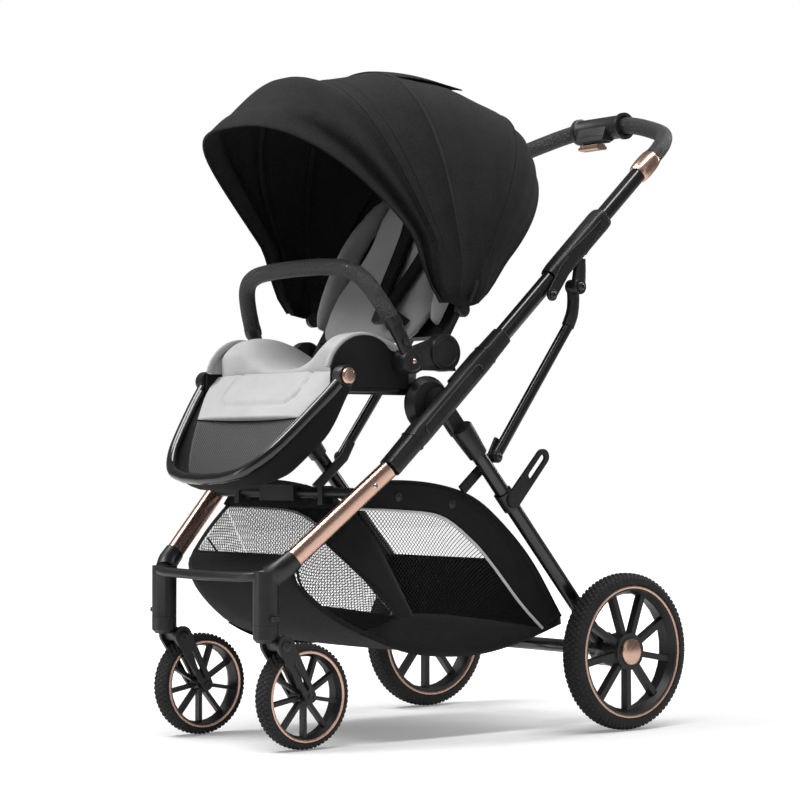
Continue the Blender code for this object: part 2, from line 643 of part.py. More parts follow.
# ---- the whole stroller --------------------------------------------------------------------------------
for old in list(bpy.data.objects):
    bpy.data.objects.remove(old)
ROOT = bpy.data.objects.new("stroller", None)
bpy.context.collection.objects.link(ROOT)

black_plastic = material("black_plastic", (0.018, 0.018, 0.019), 0.42)
black_metal = material("black_painted_metal", (0.012, 0.012, 0.013), 0.28, 0.6)
rose_gold = material("rose_gold", (0.55, 0.33, 0.25), 0.28, 1.0)
rubber = material("tyre_rubber", (0.014, 0.014, 0.015), 0.80)
leather = material("leather", (0.020, 0.020, 0.021), 0.55)
black_fabric = material("black_fabric", (0.014, 0.014, 0.015), 0.92)
grey_fabric = material("grey_fabric", (0.50, 0.50, 0.51), 0.85)

pair("front_tube", front_tube, rose_gold)
pair("hub_housing", hub_housing, black_plastic)
pair("push_tube", push_tube, black_metal)
pair("seat_mount", seat_mount, black_plastic)
piece("front_bridge", front_bridge(), black_plastic)
piece("fold_crossbar", fold_crossbar(), black_plastic)
piece("basket", basket(), black_fabric)

pair("rear_leg", rear_leg, black_metal, at(HUB, SIDE_X))
piece("rear_axle_bar", rear_axle_bar(), black_metal, at(REAR_AXLE, 0))
piece("fold_hook", fold_hook(), black_plastic)
piece("brake_pedal", brake_pedal(), black_plastic, at(REAR_AXLE, 0.135))
rear_place = at(REAR_AXLE, REAR_WHEEL["x"])
pair("rear_tyre", lambda: tyre(REAR_WHEEL["x"], at(REAR_AXLE, 0), REAR_WHEEL["radius"],
                               REAR_WHEEL["half_width"], 0.1082), rubber, rear_place)
pair("rear_rim", lambda: rim(REAR_WHEEL["x"], at(REAR_AXLE, 0), 0.1078, 0.030, 0.0064, 0.018, 0.008),
     black_plastic, rear_place)
pair("rear_hub_cap", rear_cap, rose_gold, rear_place)

front_centre = Vector((0, FRONT_WHEEL["y"], FRONT_WHEEL["radius"]))
front_place = front_centre + FRONT_WHEEL["x"] * X_AXIS
pair("swivel_head", swivel_head, black_plastic, (FRONT_WHEEL["x"], CASTER_Y, PILLAR_FOOT_Z))
pair("front_fork", front_fork, black_plastic, at(FORK_BOLT, FRONT_WHEEL["x"]))
pair("front_tyre", lambda: tyre(FRONT_WHEEL["x"], front_centre, FRONT_WHEEL["radius"],
                                FRONT_WHEEL["half_width"], 0.0706), rubber, front_place)
pair("front_rim", lambda: rim(FRONT_WHEEL["x"], front_centre, 0.0702, 0.0135, 0.0046, 0.0145, 0.0055),
     black_plastic, front_place)
pair("swivel_lock", swivel_lock, black_plastic)

pair("upper_connector", upper_connector, black_plastic, at(KNUCKLE, SIDE_X))
pair("stay", stay, black_metal, at(ELBOW, 0.200))
pair("handle_tube", handle_tube, black_metal)
pair("handle_cap", handle_cap, rose_gold)
piece("handle_grip", handle_grip(), leather)
piece("handle_lock_housing", handle_lock_housing(), black_plastic)
piece("handle_trigger", handle_trigger(), rose_gold)

piece("seat_frame", seat_frame(), black_metal)
piece("seat_pad", seat_pad(), grey_fabric)
pair("side_guard", side_guard, black_fabric)
pair("seat_bracket", seat_bracket, black_plastic)
piece("backrest_frame", backrest_frame(), black_plastic, at(RECLINE_PIVOT, 0))
piece("backrest_pad", backrest_pad(), grey_fabric, at(RECLINE_PIVOT, 0))
piece("harness", harness(), black_fabric, at(RECLINE_PIVOT, 0))
piece("footrest_frame", footrest_frame(), black_metal, at(FOOTREST_PIVOT, 0))
piece("footrest_panel", footrest_panel(), grey_fabric, at(FOOTREST_PIVOT, 0))
pair("footrest_button", footrest_button, rose_gold)
piece("bumper_bar", bumper_bar(), leather, at(BUMPER_PIVOT, 0))
piece("canopy_rear", canopy_shell(0.200, (0.366, 0.3895), (40, 40), (61.5, 61.5), skip=2),
      black_fabric, at(CANOPY_PIVOT, 0))
piece("canopy_middle", canopy_shell(0.204, (0.394, 0.394), (62, 62), (96.5, 96.5), steps=5),
      black_fabric, at(CANOPY_PIVOT, 0))
piece("canopy_front", canopy_shell(0.208, (0.398, 0.420), (97, 97), (126, 140), steps=5),
      black_fabric, at(CANOPY_PIVOT, 0))

ROOT.location.y = LAYOUT_SHIFT
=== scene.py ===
"""Looks of the folding baby stroller: cloth, pads, treads, trims and every surface finish.

Axes: +X is the stroller's left, -Y is forward, +Z is up. Shapes are laid out in the model's own
layout numbers, in metres, and moved along Y by SHIFT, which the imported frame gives.
"""
import json
import math
import bmesh
import bpy
from mathutils import Matrix, Vector

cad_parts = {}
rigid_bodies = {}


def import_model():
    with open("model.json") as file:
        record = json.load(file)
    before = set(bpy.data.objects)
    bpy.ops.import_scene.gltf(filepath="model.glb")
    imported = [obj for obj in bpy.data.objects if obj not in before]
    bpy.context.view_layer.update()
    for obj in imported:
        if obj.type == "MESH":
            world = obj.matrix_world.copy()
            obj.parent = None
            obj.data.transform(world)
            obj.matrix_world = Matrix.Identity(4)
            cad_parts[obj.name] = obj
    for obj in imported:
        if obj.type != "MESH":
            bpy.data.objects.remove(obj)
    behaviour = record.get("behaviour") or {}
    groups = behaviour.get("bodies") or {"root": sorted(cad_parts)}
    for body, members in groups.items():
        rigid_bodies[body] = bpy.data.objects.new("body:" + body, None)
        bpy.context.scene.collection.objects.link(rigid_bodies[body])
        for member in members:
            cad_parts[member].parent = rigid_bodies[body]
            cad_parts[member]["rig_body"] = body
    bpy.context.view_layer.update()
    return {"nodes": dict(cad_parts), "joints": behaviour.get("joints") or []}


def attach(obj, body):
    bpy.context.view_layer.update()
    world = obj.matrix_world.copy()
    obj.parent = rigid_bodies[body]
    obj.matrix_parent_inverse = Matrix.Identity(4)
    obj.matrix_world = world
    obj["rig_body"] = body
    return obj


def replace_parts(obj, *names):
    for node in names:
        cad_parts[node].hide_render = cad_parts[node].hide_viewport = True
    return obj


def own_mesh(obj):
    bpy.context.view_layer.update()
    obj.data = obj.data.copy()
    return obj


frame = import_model()
NODES = frame["nodes"]
JOINTS = {joint["name"]: joint for joint in frame["joints"]}

# ---- layout ---------------------------------------------------------------------------------
HUB = (-0.080, 0.526)
SHIFT = JOINTS["rear_leg_fold"]["pos_m"][1] - HUB[0]


def pivot_of(joint):
    """A joint's (y, z) in layout numbers."""
    _, y, z = JOINTS[joint]["pos_m"]
    return (y - SHIFT, z)


SIDE_X = 0.206
RAIL_FOOT = (-0.1895, 0.4250)
RAIL_ANGLE = math.radians(42.5)
FRONT_FOOT = Vector((0.160, -0.336, 0.290))
REAR_AXLE = (0.2667, 0.1272)
ELBOW, KNUCKLE, STAY_FOOT = (0.200, 0.720), (0.134, 0.703), (0.032, 0.443)
STAY_X, BRANCH_X, EAR_X = 0.200, 0.2133, 0.2215
SEAT_HALF, SEAT_UNDERSIDE, SEAT_TOP = 0.158, 0.5572, 0.5600
GRIP_RADIUS, BUMPER_RADIUS = 0.0145, 0.0135
REAR_WHEEL = dict(x=0.251, y=REAR_AXLE[0], radius=0.1272, half_width=0.0202, bead=0.1082,
                  face=0.018, pitch=0.0092)
FRONT_WHEEL = dict(x=0.136, y=-0.303, radius=0.0809, half_width=0.0161, bead=0.0706,
                   face=0.0145, pitch=0.0082)
FOOTREST_PIVOT = pivot_of("footrest_tilt")
FOOTREST_ANGLE = math.radians(229.6)
BUMPER_PIVOT = pivot_of("bumper_swing")
BUMPER_ANGLE = math.radians(117)
RECLINE_PIVOT = pivot_of("backrest_recline")
RECLINE_ANGLE = math.radians(58)
CANOPY_PIVOT = pivot_of("canopy_fold")
GRIP_MIDDLE = 0.8850
RAIL_DIR = Vector((0, math.cos(RAIL_ANGLE), math.sin(RAIL_ANGLE)))
RAIL_NORMAL = Vector((0, -math.sin(RAIL_ANGLE), math.cos(RAIL_ANGLE)))
LEG_DIR = Vector((0, REAR_AXLE[0] - HUB[0], REAR_AXLE[1] - HUB[1])).normalized()
X_AXIS, Y_AXIS, Z_AXIS = Vector((1, 0, 0)), Vector((0, 1, 0)), Vector((0, 0, 1))


def rail(s, off=0.0, x=SIDE_X):
    """A point s along the rail from its foot, off above it, in the plane x."""
    return Vector((x, RAIL_FOOT[0], RAIL_FOOT[1])) + s * RAIL_DIR + off * RAIL_NORMAL


def leg(distance, x=SIDE_X):
    """A point on the rear leg's axis, measured from the hub pivot."""
    return Vector((x, HUB[0], HUB[1])) + distance * LEG_DIR


def inclined(pivot, angle, x, t, off=0.0):
    """A point t along a plane through pivot, off to its upper side."""
    along = Vector((0, math.cos(angle), math.sin(angle)))
    normal = Vector((0, -math.sin(angle), math.cos(angle)))
    return Vector((x, pivot[0], pivot[1])) + t * along + off * normal


def backrest(x, t, off=0.0):
    return inclined(RECLINE_PIVOT, RECLINE_ANGLE, x, t, off)


def footrest(x, t, off=0.0):
    return inclined(FOOTREST_PIVOT, FOOTREST_ANGLE, x, t, off)


def bumper(x, t, off=0.0):
    return inclined(BUMPER_PIVOT, BUMPER_ANGLE, x, t, off)


def at(point, x):
    return Vector((x, point[0], point[1]))


# ---- curves ---------------------------------------------------------------------------------
def smooth(points, steps):
    """A Catmull-Rom curve through points, with steps pieces between each two."""
    extended = [2 * points[0] - points[1]] + list(points) + [2 * points[-1] - points[-2]]
    curve = []
    for i in range(1, len(extended) - 2):
        a, b, c, d = extended[i - 1:i + 3]
        for k in range(steps):
            t = k / steps
            curve.append(0.5 * (2 * b + (c - a) * t + (2 * a - 5 * b + 4 * c - d) * t * t
                                + (3 * b - 3 * c + d - a) * t ** 3))
    return curve + [points[-1].copy()]


def resample(points, count):
    """count points spread evenly along a polyline."""
    lengths = [0.0]
    for a, b in zip(points, points[1:]):
        lengths.append(lengths[-1] + (b - a).length)
    result, i = [], 0
    for k in range(count):
        goal = lengths[-1] * k / (count - 1)
        while i < len(points) - 2 and lengths[i + 1] < goal:
            i += 1
        step = max(lengths[i + 1] - lengths[i], 1e-9)
        result.append(points[i].lerp(points[i + 1], min(1.0, max(0.0, (goal - lengths[i]) / step))))
    return result


def mirrored_path(points):
    """A left half path, from its end to the middle, and its mirror image after it."""
    return list(points) + [Vector((-p.x, p.y, p.z)) for p in reversed(points[:-1])]


def side_curve(points, width, count):
    """An even, smooth curve through (y, z) points, at the distance from the middle width(y) gives."""
    curve = resample(smooth([Vector((0, y, z)) for y, z in points], 6), count)
    return [Vector((width(p.y), p.y, p.z)) for p in curve]


def section(half_a, half_b, sides, power):
    """A closed superellipse outline: power 2 is an ellipse, 4 or more a rounded box."""
    points = []
    for i in range(sides):
        angle = 2 * math.pi * (i + 0.5) / sides
        c, s = math.cos(angle), math.sin(angle)
        points.append((half_a * math.copysign(abs(c) ** (2 / power), c),
                       half_b * math.copysign(abs(s) ** (2 / power), s)))
    return points


def ease(t):
    t = min(1.0, max(0.0, t))
    return t * t * (3 - 2 * t)


# ---- pieces ---------------------------------------------------------------------------------
LAST_FRAME = 20


def finish_piece(obj, finish, body, angle=35):
    """Gives a piece its material, shading and body."""
    mesh = obj.data
    mesh.materials.append(finish)
    mesh.shade_smooth()
    mesh.set_sharp_from_angle(angle=math.radians(angle))
    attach(obj, body)
    return obj


def new_object(name, points, faces, uvs=None):
    """A mesh object from layout points, with one UV a point if uvs are given."""
    mesh = bpy.data.meshes.new(name)
    mesh.from_pydata([(p.x, p.y + SHIFT, p.z) for p in points], [], faces)
    mesh.update()
    if uvs is not None:
        layer = mesh.uv_layers.new(name="UVMap")
        for loop in mesh.loops:
            layer.data[loop.index].uv = uvs[loop.vertex_index]
    obj = bpy.data.objects.new(name, mesh)
    bpy.context.scene.collection.objects.link(obj)
    return obj


def outward(obj):
    """Turns the normals of a closed body outwards."""
    bm = bmesh.new()
    bm.from_mesh(obj.data)
    bmesh.ops.recalc_face_normals(bm, faces=bm.faces)
    bm.to_mesh(obj.data)
    bm.free()
    return obj


def solid(name, rings, finish, body, angle=35, loop=False):
    """A closed body through equal rings; loop joins the last ring to the first."""
    count = len(rings[0])
    points = [p for ring in rings for p in ring]
    spans = len(rings) if loop else len(rings) - 1
    faces = []
    for i in range(spans):
        a, b = i * count, (i + 1) % len(rings) * count
        faces += [(a + j, a + (j + 1) % count, b + (j + 1) % count, b + j) for j in range(count)]
    if not loop:
        last = (len(rings) - 1) * count
        faces += [tuple(range(count))[::-1], tuple(range(last, last + count))]
    obj = outward(new_object(name, points, faces))
    return finish_piece(obj, finish, body, angle)


def sweep(name, path, sizes, finish, body, lateral=X_AXIS, sides=24, power=2.0, angle=35):
    """A bar along path. sizes is (half across lateral, half the other way), or one pair a point."""
    if isinstance(sizes, tuple):
        sizes = [sizes] * len(path)
    rings = []
    for i, point in enumerate(path):
        tangent = (path[min(i + 1, len(path) - 1)] - path[max(i - 1, 0)]).normalized()
        across = (lateral - lateral.dot(tangent) * tangent).normalized()
        other = tangent.cross(across)
        rings.append([point + a * across + b * other
                      for a, b in section(sizes[i][0], sizes[i][1], sides, power)])
    return solid(name, rings, finish, body, angle, False)


def cordlike(name, path, radius, finish, body):
    """A thin round trim, such as piping or a seam, along any path."""
    lateral = X_AXIS
    spread = path[-1] - path[0]
    if spread.length > 0 and abs(spread.normalized().x) > 0.8:
        lateral = Z_AXIS
    return sweep(name, path, (radius, radius), finish, body, lateral, sides=8, angle=60)


def turned(name, profile, centre, finish, body, segments=48, closed=False, axis=X_AXIS):
    """A body of revolution from (along, radius) points; an open profile ends on its axis."""
    first = Z_AXIS if abs(axis.z) < 0.9 else X_AXIS
    first = (first - first.dot(axis) * axis).normalized()
    second = axis.cross(first)
    points, rows, faces = [], [], []
    for along, radius in profile:
        count = 1 if radius == 0 else segments
        rows.append((len(points), count))
        for i in range(count):
            a = 2 * math.pi * i / segments
            spoke = math.cos(a) * first + math.sin(a) * second
            points.append(centre + along * axis + radius * spoke)
    pairs = list(zip(rows, rows[1:])) + ([(rows[-1], rows[0])] if closed else [])
    for (start, count), (following, other) in pairs:
        for i in range(segments):
            j = (i + 1) % segments
            corners = [start + i % count, start + j % count, following + j % other,
                       following + i % other]
            faces.append(tuple(dict.fromkeys(corners)))
    obj = outward(new_object(name, points, faces))
    return finish_piece(obj, finish, body, 35)


def slab(name, outline, x_low, x_high, finish, body, bevel):
    """A (y, z) outline extruded along X, with bevelled edges."""
    rings = [[Vector((x, y, z)) for y, z in outline] for x in (x_low, x_high)]
    obj = solid(name, rings, finish, body, 30)
    add_bevel(obj, bevel)
    return obj


def add_bevel(obj, width):
    modifier = obj.modifiers.new("bevel", "BEVEL")
    modifier.width = width
    modifier.segments = 2
    modifier.limit_method = "ANGLE"
    modifier.angle_limit = math.radians(38)
    modifier.harden_normals = False


def refined(node, finish, bevel):
    """Stands for a hard CAD node: the same shape, welded, smooth shaded and with softened edges."""
    source = NODES[node]
    bm = bmesh.new()
    bm.from_mesh(source.data)
    bmesh.ops.remove_doubles(bm, verts=bm.verts, dist=2e-6)
    bmesh.ops.dissolve_limit(bm, angle_limit=math.radians(1.0), verts=bm.verts, edges=bm.edges)
    mesh = bpy.data.meshes.new(node + "_finish")
    bm.to_mesh(mesh)
    bm.free()
    obj = bpy.data.objects.new(node + "_finish", mesh)
    bpy.context.scene.collection.objects.link(obj)
    finish_piece(obj, finish, body_of(node))
    if bevel:
        add_bevel(obj, bevel)
    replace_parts(obj, node)
    return obj


def body_of(node):
    return NODES[node]["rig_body"]


def grid(name, rows, finish, body, thickness=0.0):
    """A cloth surface through equal rows of points, with UVs in metres along both ways."""
    count = len(rows[0])
    points, uvs = [], []
    middle = count // 2
    v = 0.0
    for i, row in enumerate(rows):
        if i:
            v += (row[middle] - rows[i - 1][middle]).length
        lengths = [0.0]
        for a, b in zip(row, row[1:]):
            lengths.append(lengths[-1] + (b - a).length)
        points += row
        uvs += [(s - lengths[middle], v) for s in lengths]
    faces = []
    for i in range(len(rows) - 1):
        for j in range(count - 1):
            a = i * count + j
            faces.append((a, a + 1, a + count + 1, a + count))
    obj = new_object(name, points, faces, uvs)
    finish_piece(obj, finish, body, 60)
    if thickness:
        modifier = obj.modifiers.new("cloth thickness", "SOLIDIFY")
        modifier.thickness = thickness
        modifier.offset = 0.0
    return obj


def cloth():
    """Defines a helper that sums a polyline's length, and does nothing else."""
    def along(points):
        return sum((b - a).length for a, b in zip(points, points[1:]))


def panel(name, rows, finish, body, thickness=0.0):
    """A cloth surface stretched on one piece."""
    obj = grid(name, rows, finish, body, thickness)
    cloth()
    return obj


def mirror_rows(rows):
    return [[Vector((-p.x, p.y, p.z)) for p in row] for row in rows]


def inflate(obj, voxel, pressure, cap):
    """Swells a pad with a cloth simulation, and keeps each point within cap of where it began."""
    finishes = list(obj.data.materials)
    remesh = obj.modifiers.new("remesh", "REMESH")
    remesh.mode = "VOXEL"
    remesh.voxel_size = voxel
    apply_modifiers(obj)
    rest = [v.co.copy() for v in obj.data.vertices]
    scene = bpy.context.scene
    cloth_modifier = obj.modifiers.new("cloth", "CLOTH")
    settings = cloth_modifier.settings
    settings.use_pressure = True
    settings.uniform_pressure_force = pressure
    settings.effector_weights.gravity = 0.0
    settings.quality = 5
    settings.tension_stiffness = settings.compression_stiffness = 20
    settings.bending_stiffness = 0.8
    cloth_modifier.point_cache.frame_start = 1
    cloth_modifier.point_cache.frame_end = LAST_FRAME
    for step in range(1, LAST_FRAME + 1):
        scene.frame_set(step)
    apply_modifiers(obj)
    scene.frame_set(1)
    for vertex, origin in zip(obj.data.vertices, rest):
        move = vertex.co - origin
        if move.length > cap:
            vertex.co = origin + move * (cap / move.length)
    relax(obj, 4)
    obj.data.materials.clear()
    for finish in finishes:
        obj.data.materials.append(finish)
    obj.data.shade_smooth()
    modifier = obj.modifiers.new("subdivision", "SUBSURF")
    modifier.levels = modifier.render_levels = 1
    return obj


def apply_modifiers(obj):
    """Puts the mesh that the modifiers give in the place of the object's own."""
    evaluated = obj.evaluated_get(bpy.context.evaluated_depsgraph_get())
    mesh = bpy.data.meshes.new_from_object(evaluated)
    obj.modifiers.clear()
    old = obj.data
    obj.data = mesh
    bpy.data.meshes.remove(old)


def relax(obj, times):
    """Evens out a mesh by moving each point half way to its neighbours, times over."""
    bm = bmesh.new()
    bm.from_mesh(obj.data)
    for _ in range(times):
        bmesh.ops.smooth_vert(bm, verts=bm.verts, factor=0.5, use_axis_x=True, use_axis_y=True,
                              use_axis_z=True)
    bm.to_mesh(obj.data)
    bm.free()


# ---- materials ------------------------------------------------------------------------------
class Finish:
    """A material and short calls for the nodes that make its pattern."""

    def __init__(self, name, colour, roughness, **sockets):
        self.result = bpy.data.materials.new(name)
        self.result.use_nodes = True
        self.tree = self.result.node_tree
        self.shader = self.tree.nodes["Principled BSDF"]
        self.shader.inputs["Base Color"].default_value = (*colour, 1)
        self.shader.inputs["Roughness"].default_value = roughness
        for key, value in sockets.items():
            self.shader.inputs[key.replace("_", " ")].default_value = value
        self.place = self.tree.nodes.new("ShaderNodeTexCoord")

    def node(self, kind, links=None, **settings):
        node = self.tree.nodes.new("ShaderNode" + kind)
        for key, value in settings.items():
            setattr(node, key, value)
        for key, value in (links or {}).items():
            if isinstance(value, bpy.types.NodeSocket):
                self.tree.links.new(value, node.inputs[key])
            else:
                node.inputs[key].default_value = value
        return node

    def math(self, operation, a, b=0.0):
        return self.node("Math", {0: a, 1: b}, operation=operation).outputs[0]

    def coords(self, kind="Object", scale=(1, 1, 1), turn=(0, 0, 0)):
        links = {"Vector": self.place.outputs[kind], "Scale": scale, "Rotation": turn}
        return self.node("Mapping", links).outputs[0]

    def noise(self, scale, detail=2.0, vector=None, roughness=0.55):
        links = {"Vector": vector or self.coords(), "Scale": scale, "Detail": detail,
                 "Roughness": roughness}
        return self.node("TexNoise", links).outputs["Fac"]

    def ramp(self, value, low, high, dark, light):
        node = self.node("ValToRGB", {"Fac": value})
        node.color_ramp.elements[0].position = low
        node.color_ramp.elements[1].position = high
        node.color_ramp.elements[0].color = (*dark, 1)
        node.color_ramp.elements[1].color = (*light, 1)
        return node.outputs["Color"]

    def span(self, value, low, high, to_low, to_high):
        links = {"Value": value, "From Min": low, "From Max": high, "To Min": to_low,
                 "To Max": to_high}
        return self.node("MapRange", links).outputs["Result"]

    def waves(self, pitch, kind):
        """sin(u) and sin(v) with this pitch in metres."""
        split = self.node("SeparateXYZ", {0: self.coords(kind)})
        return [self.math("SINE", self.math("MULTIPLY", split.outputs[i], 2 * math.pi / pitch))
                for i in (0, 1)]

    def link(self, output, socket):
        self.tree.links.new(output, self.shader.inputs[socket])
        return self

    def bump(self, height, strength, distance=0.0005):
        node = self.node("Bump", {"Height": height, "Strength": strength, "Distance": distance})
        return self.link(node.outputs[0], "Normal")


def melange(name, dark, light, scale, sheen, kind="UV"):
    """Woven cloth of mixed dark and light yarn."""
    f = Finish(name, light, 0.9, Sheen_Weight=sheen, Sheen_Roughness=0.45,
               Specular_IOR_Level=0.25)
    speckle = f.noise(scale, 3.0, roughness=0.7)
    patches = f.noise(35.0, 2.0)
    mixed = f.math("ADD", speckle, f.math("MULTIPLY", f.math("SUBTRACT", patches, 0.5), 0.15))
    f.link(f.ramp(mixed, 0.42, 0.62, dark, light), "Base Color")
    wave_u, wave_v = f.waves(0.0011, kind)
    weave = f.math("MULTIPLY", wave_u, wave_v)
    height = f.math("ADD", weave, f.math("MULTIPLY", speckle, 1.6))
    return f.bump(height, 0.35, 0.0003).result


def knit(name, dark, light, sheen):
    """Soft brushed knit of the seat pads."""
    f = Finish(name, light, 0.92, Sheen_Weight=sheen, Sheen_Roughness=0.5, Specular_IOR_Level=0.2)
    speckle = f.noise(1100.0, 3.0)
    broad = f.noise(22.0, 2.0)
    mixed = f.math("ADD", f.math("MULTIPLY", speckle, 0.7), f.math("MULTIPLY", broad, 0.3))
    f.link(f.ramp(mixed, 0.32, 0.66, dark, light), "Base Color")
    return f.bump(f.math("ADD", speckle, f.math("MULTIPLY", broad, 1.2)), 0.30, 0.0004).result


def open_mesh(name, colour, pitch, fill):
    """See-through netting: threads around staggered holes. fill is the threads' share."""
    f = Finish(name, colour, 0.75, Specular_IOR_Level=0.3)
    split = f.node("SeparateXYZ", {0: f.coords("UV")})
    u, v = split.outputs[0], split.outputs[1]
    threads = []
    for diagonal in (f.math("ADD", u, v), f.math("SUBTRACT", u, v)):
        wave = f.math("SINE", f.math("MULTIPLY", diagonal, math.pi / pitch))
        threads.append(f.math("ABSOLUTE", wave))
    nearest = f.math("MINIMUM", *threads)
    f.link(f.span(nearest, fill, fill + 0.10, 1.0, 0.0), "Alpha")
    f.bump(nearest, 0.2, 0.0003)
    f.link(f.ramp(f.noise(600.0), 0.3, 0.7, tuple(c * 0.6 for c in colour), colour), "Base Color")
    return f.result


def diamond_mesh(name, dark, light, pitch):
    """Closed spacer fabric with fine diamond cells, and painted shade that darkens the cell hollows.
    """
    f = Finish(name, light, 0.85, Sheen_Weight=0.2, Specular_IOR_Level=0.3)
    vector = f.coords("UV", turn=(0, 0, math.radians(45)), scale=(1.0, 1.45, 1.0))
    split = f.node("SeparateXYZ", {0: vector})
    cosines = [f.math("COSINE", f.math("MULTIPLY", split.outputs[i], 2 * math.pi / pitch))
               for i in (0, 1)]
    cell = f.math("MULTIPLY", cosines[0], cosines[1])
    depth = f.math("ABSOLUTE", cell)
    # Painted shade: the deeper the hollow of a cell, the darker its colour.
    f.link(f.ramp(depth, 0.18, 0.52, light, dark), "Base Color")
    return f.bump(f.math("MULTIPLY", depth, -1.0), 0.8, 0.0012).result


def leather_grain(name, dark, light):
    """Pebbled leather, glossier on the pebbles than between them, with painted shade in the creases
    between them.
    """
    f = Finish(name, light, 0.38, Specular_IOR_Level=0.55)
    vector = f.coords()
    pebble = f.node("TexVoronoi", {"Vector": vector, "Scale": 300.0, "Randomness": 1.0},
                    feature="DISTANCE_TO_EDGE").outputs["Distance"]
    fine = f.noise(1800.0, 2.0)
    # Painted shade: the creases between the pebbles are darker than the pebble tops; the broad noise
    # adds tone that differs at random.
    crease_shade_and_tone = f.math("ADD", f.math("MULTIPLY", pebble, 1.4), f.math("MULTIPLY", f.noise(60.0), 0.5))
    f.link(f.ramp(crease_shade_and_tone, 0.1, 0.9, dark, light), "Base Color")
    f.link(f.span(pebble, 0.0, 0.35, 0.58, 0.28), "Roughness")
    height = f.math("ADD", f.math("MINIMUM", pebble, 0.28), f.math("MULTIPLY", fine, 0.05))
    return f.bump(height, 1.0, 0.0040).result


def moulded(name, dark, light, roughness, coat=0.0, grain=0.12):
    """Moulded plastic or enamel: very fine texture and slight changes of gloss."""
    f = Finish(name, light, roughness, Specular_IOR_Level=0.45, Coat_Weight=coat,
               Coat_Roughness=0.15)
    fine = f.noise(900.0, 2.0)
    broad = f.noise(14.0, 3.0)
    f.link(f.ramp(broad, 0.3, 0.7, dark, light), "Base Color")
    f.link(f.span(broad, 0.3, 0.7, roughness - 0.04, roughness + 0.05), "Roughness")
    return (f.bump(fine, grain, 0.00025) if grain else f).result


def brushed(name, dark, light, roughness):
    """Brushed metal with its lines along the frame tubes."""
    f = Finish(name, light, roughness, Metallic=1.0)
    turned_vector = f.coords("Object", turn=(-RAIL_ANGLE, 0, 0))
    vector = f.node("Mapping", {"Vector": turned_vector, "Scale": (1.0, 0.02, 1.0)}).outputs[0]
    streaks = f.noise(700.0, 1.0, vector, 0.4)
    broad = f.noise(9.0, 2.0)
    f.link(f.ramp(f.math("ADD", f.math("MULTIPLY", streaks, 0.7), f.math("MULTIPLY", broad, 0.3)),
                  0.3, 0.7, dark, light), "Base Color")
    f.link(f.span(streaks, 0.3, 0.7, roughness - 0.02, roughness + 0.03), "Roughness")
    return f.bump(streaks, 0.01, 0.0001).result


def rubber_finish(name, dark, light):
    """Dull rubber with a little dust."""
    f = Finish(name, light, 0.72, Specular_IOR_Level=0.35)
    dust = f.noise(90.0, 4.0)
    f.link(f.ramp(dust, 0.35, 0.75, dark, light), "Base Color")
    f.link(f.span(dust, 0.3, 0.7, 0.62, 0.82), "Roughness")
    return f.bump(f.noise(1500.0, 2.0), 0.25, 0.0003).result


CANOPY_CLOTH = melange("canopy_melange", (0.0015, 0.0015, 0.0016), (0.013, 0.013, 0.0135), 560,
                       0.02)
BLACK_CLOTH = melange("black_cloth", (0.004, 0.004, 0.004), (0.011, 0.011, 0.0115), 1500, 0.05,
                      "Object")
GREY_KNIT = knit("light_grey_knit", (0.335, 0.335, 0.339), (0.47, 0.47, 0.474), 0.35)
PIPING = knit("light_piping", (0.40, 0.40, 0.405), (0.60, 0.60, 0.605), 0.2)
NETTING = open_mesh("basket_netting", (0.004, 0.004, 0.004), 0.0062, 0.31)
SPACER = diamond_mesh("spacer_mesh", (0.003, 0.003, 0.003), (0.080, 0.080, 0.081), 0.0082)
LEATHER = leather_grain("grained_leather", (0.006, 0.006, 0.006), (0.030, 0.030, 0.031))
PLASTIC = moulded("moulded_black", (0.007, 0.007, 0.0075), (0.012, 0.012, 0.0125), 0.38)
ENAMEL = moulded("black_enamel", (0.004, 0.004, 0.0045), (0.007, 0.007, 0.0075), 0.20, 0.40, 0.0)
ROSE_GOLD = brushed("brushed_rose_gold", (0.58, 0.375, 0.295), (0.66, 0.435, 0.345), 0.27)
STEEL = brushed("brushed_steel", (0.42, 0.42, 0.43), (0.62, 0.62, 0.63), 0.30)
RUBBER = rubber_finish("tyre_rubber_finish", (0.008, 0.008, 0.008), (0.024, 0.024, 0.0245))

SIDES = (("left", 1), ("right", -1))


def flip(vector, sign):
    return Vector((sign * vector.x, vector.y, vector.z))


# ---- hard parts that keep their shape ---------------------------------------------------------
PAIRED = {"hub_housing": (PLASTIC, 0.0008), "seat_mount": (PLASTIC, 0.0008),
          "rear_rim": (PLASTIC, 0.0006), "rear_hub_cap": (ROSE_GOLD, 0),
          "swivel_head": (PLASTIC, 0.0006), "front_fork": (PLASTIC, 0.0008),
          "front_rim": (PLASTIC, 0.0004), "swivel_lock": (PLASTIC, 0.0007),
          "seat_bracket": (PLASTIC, 0.0009), "footrest_button": (ROSE_GOLD, 0)}
SINGLE = {"front_bridge": (PLASTIC, 0.0006), "fold_crossbar": (PLASTIC, 0.0008),
          "rear_axle_bar": (ENAMEL, 0), "fold_hook": (PLASTIC, 0.0006),
          "brake_pedal": (PLASTIC, 0.0009), "handle_lock_housing": (PLASTIC, 0.0006),
          "handle_trigger": (ROSE_GOLD, 0), "seat_frame": (ENAMEL, 0.0008),
          "backrest_frame": (PLASTIC, 0.0008)}


def hard_parts():
    """Parts that keep their own shape: a finish and, where the number is not 0, a bevel."""
    for side, _ in SIDES:
        for name, (finish, bevel) in PAIRED.items():
            refined(f"{name}_{side}", finish, bevel)
    for name, (finish, bevel) in SINGLE.items():
        refined(name, finish, bevel)


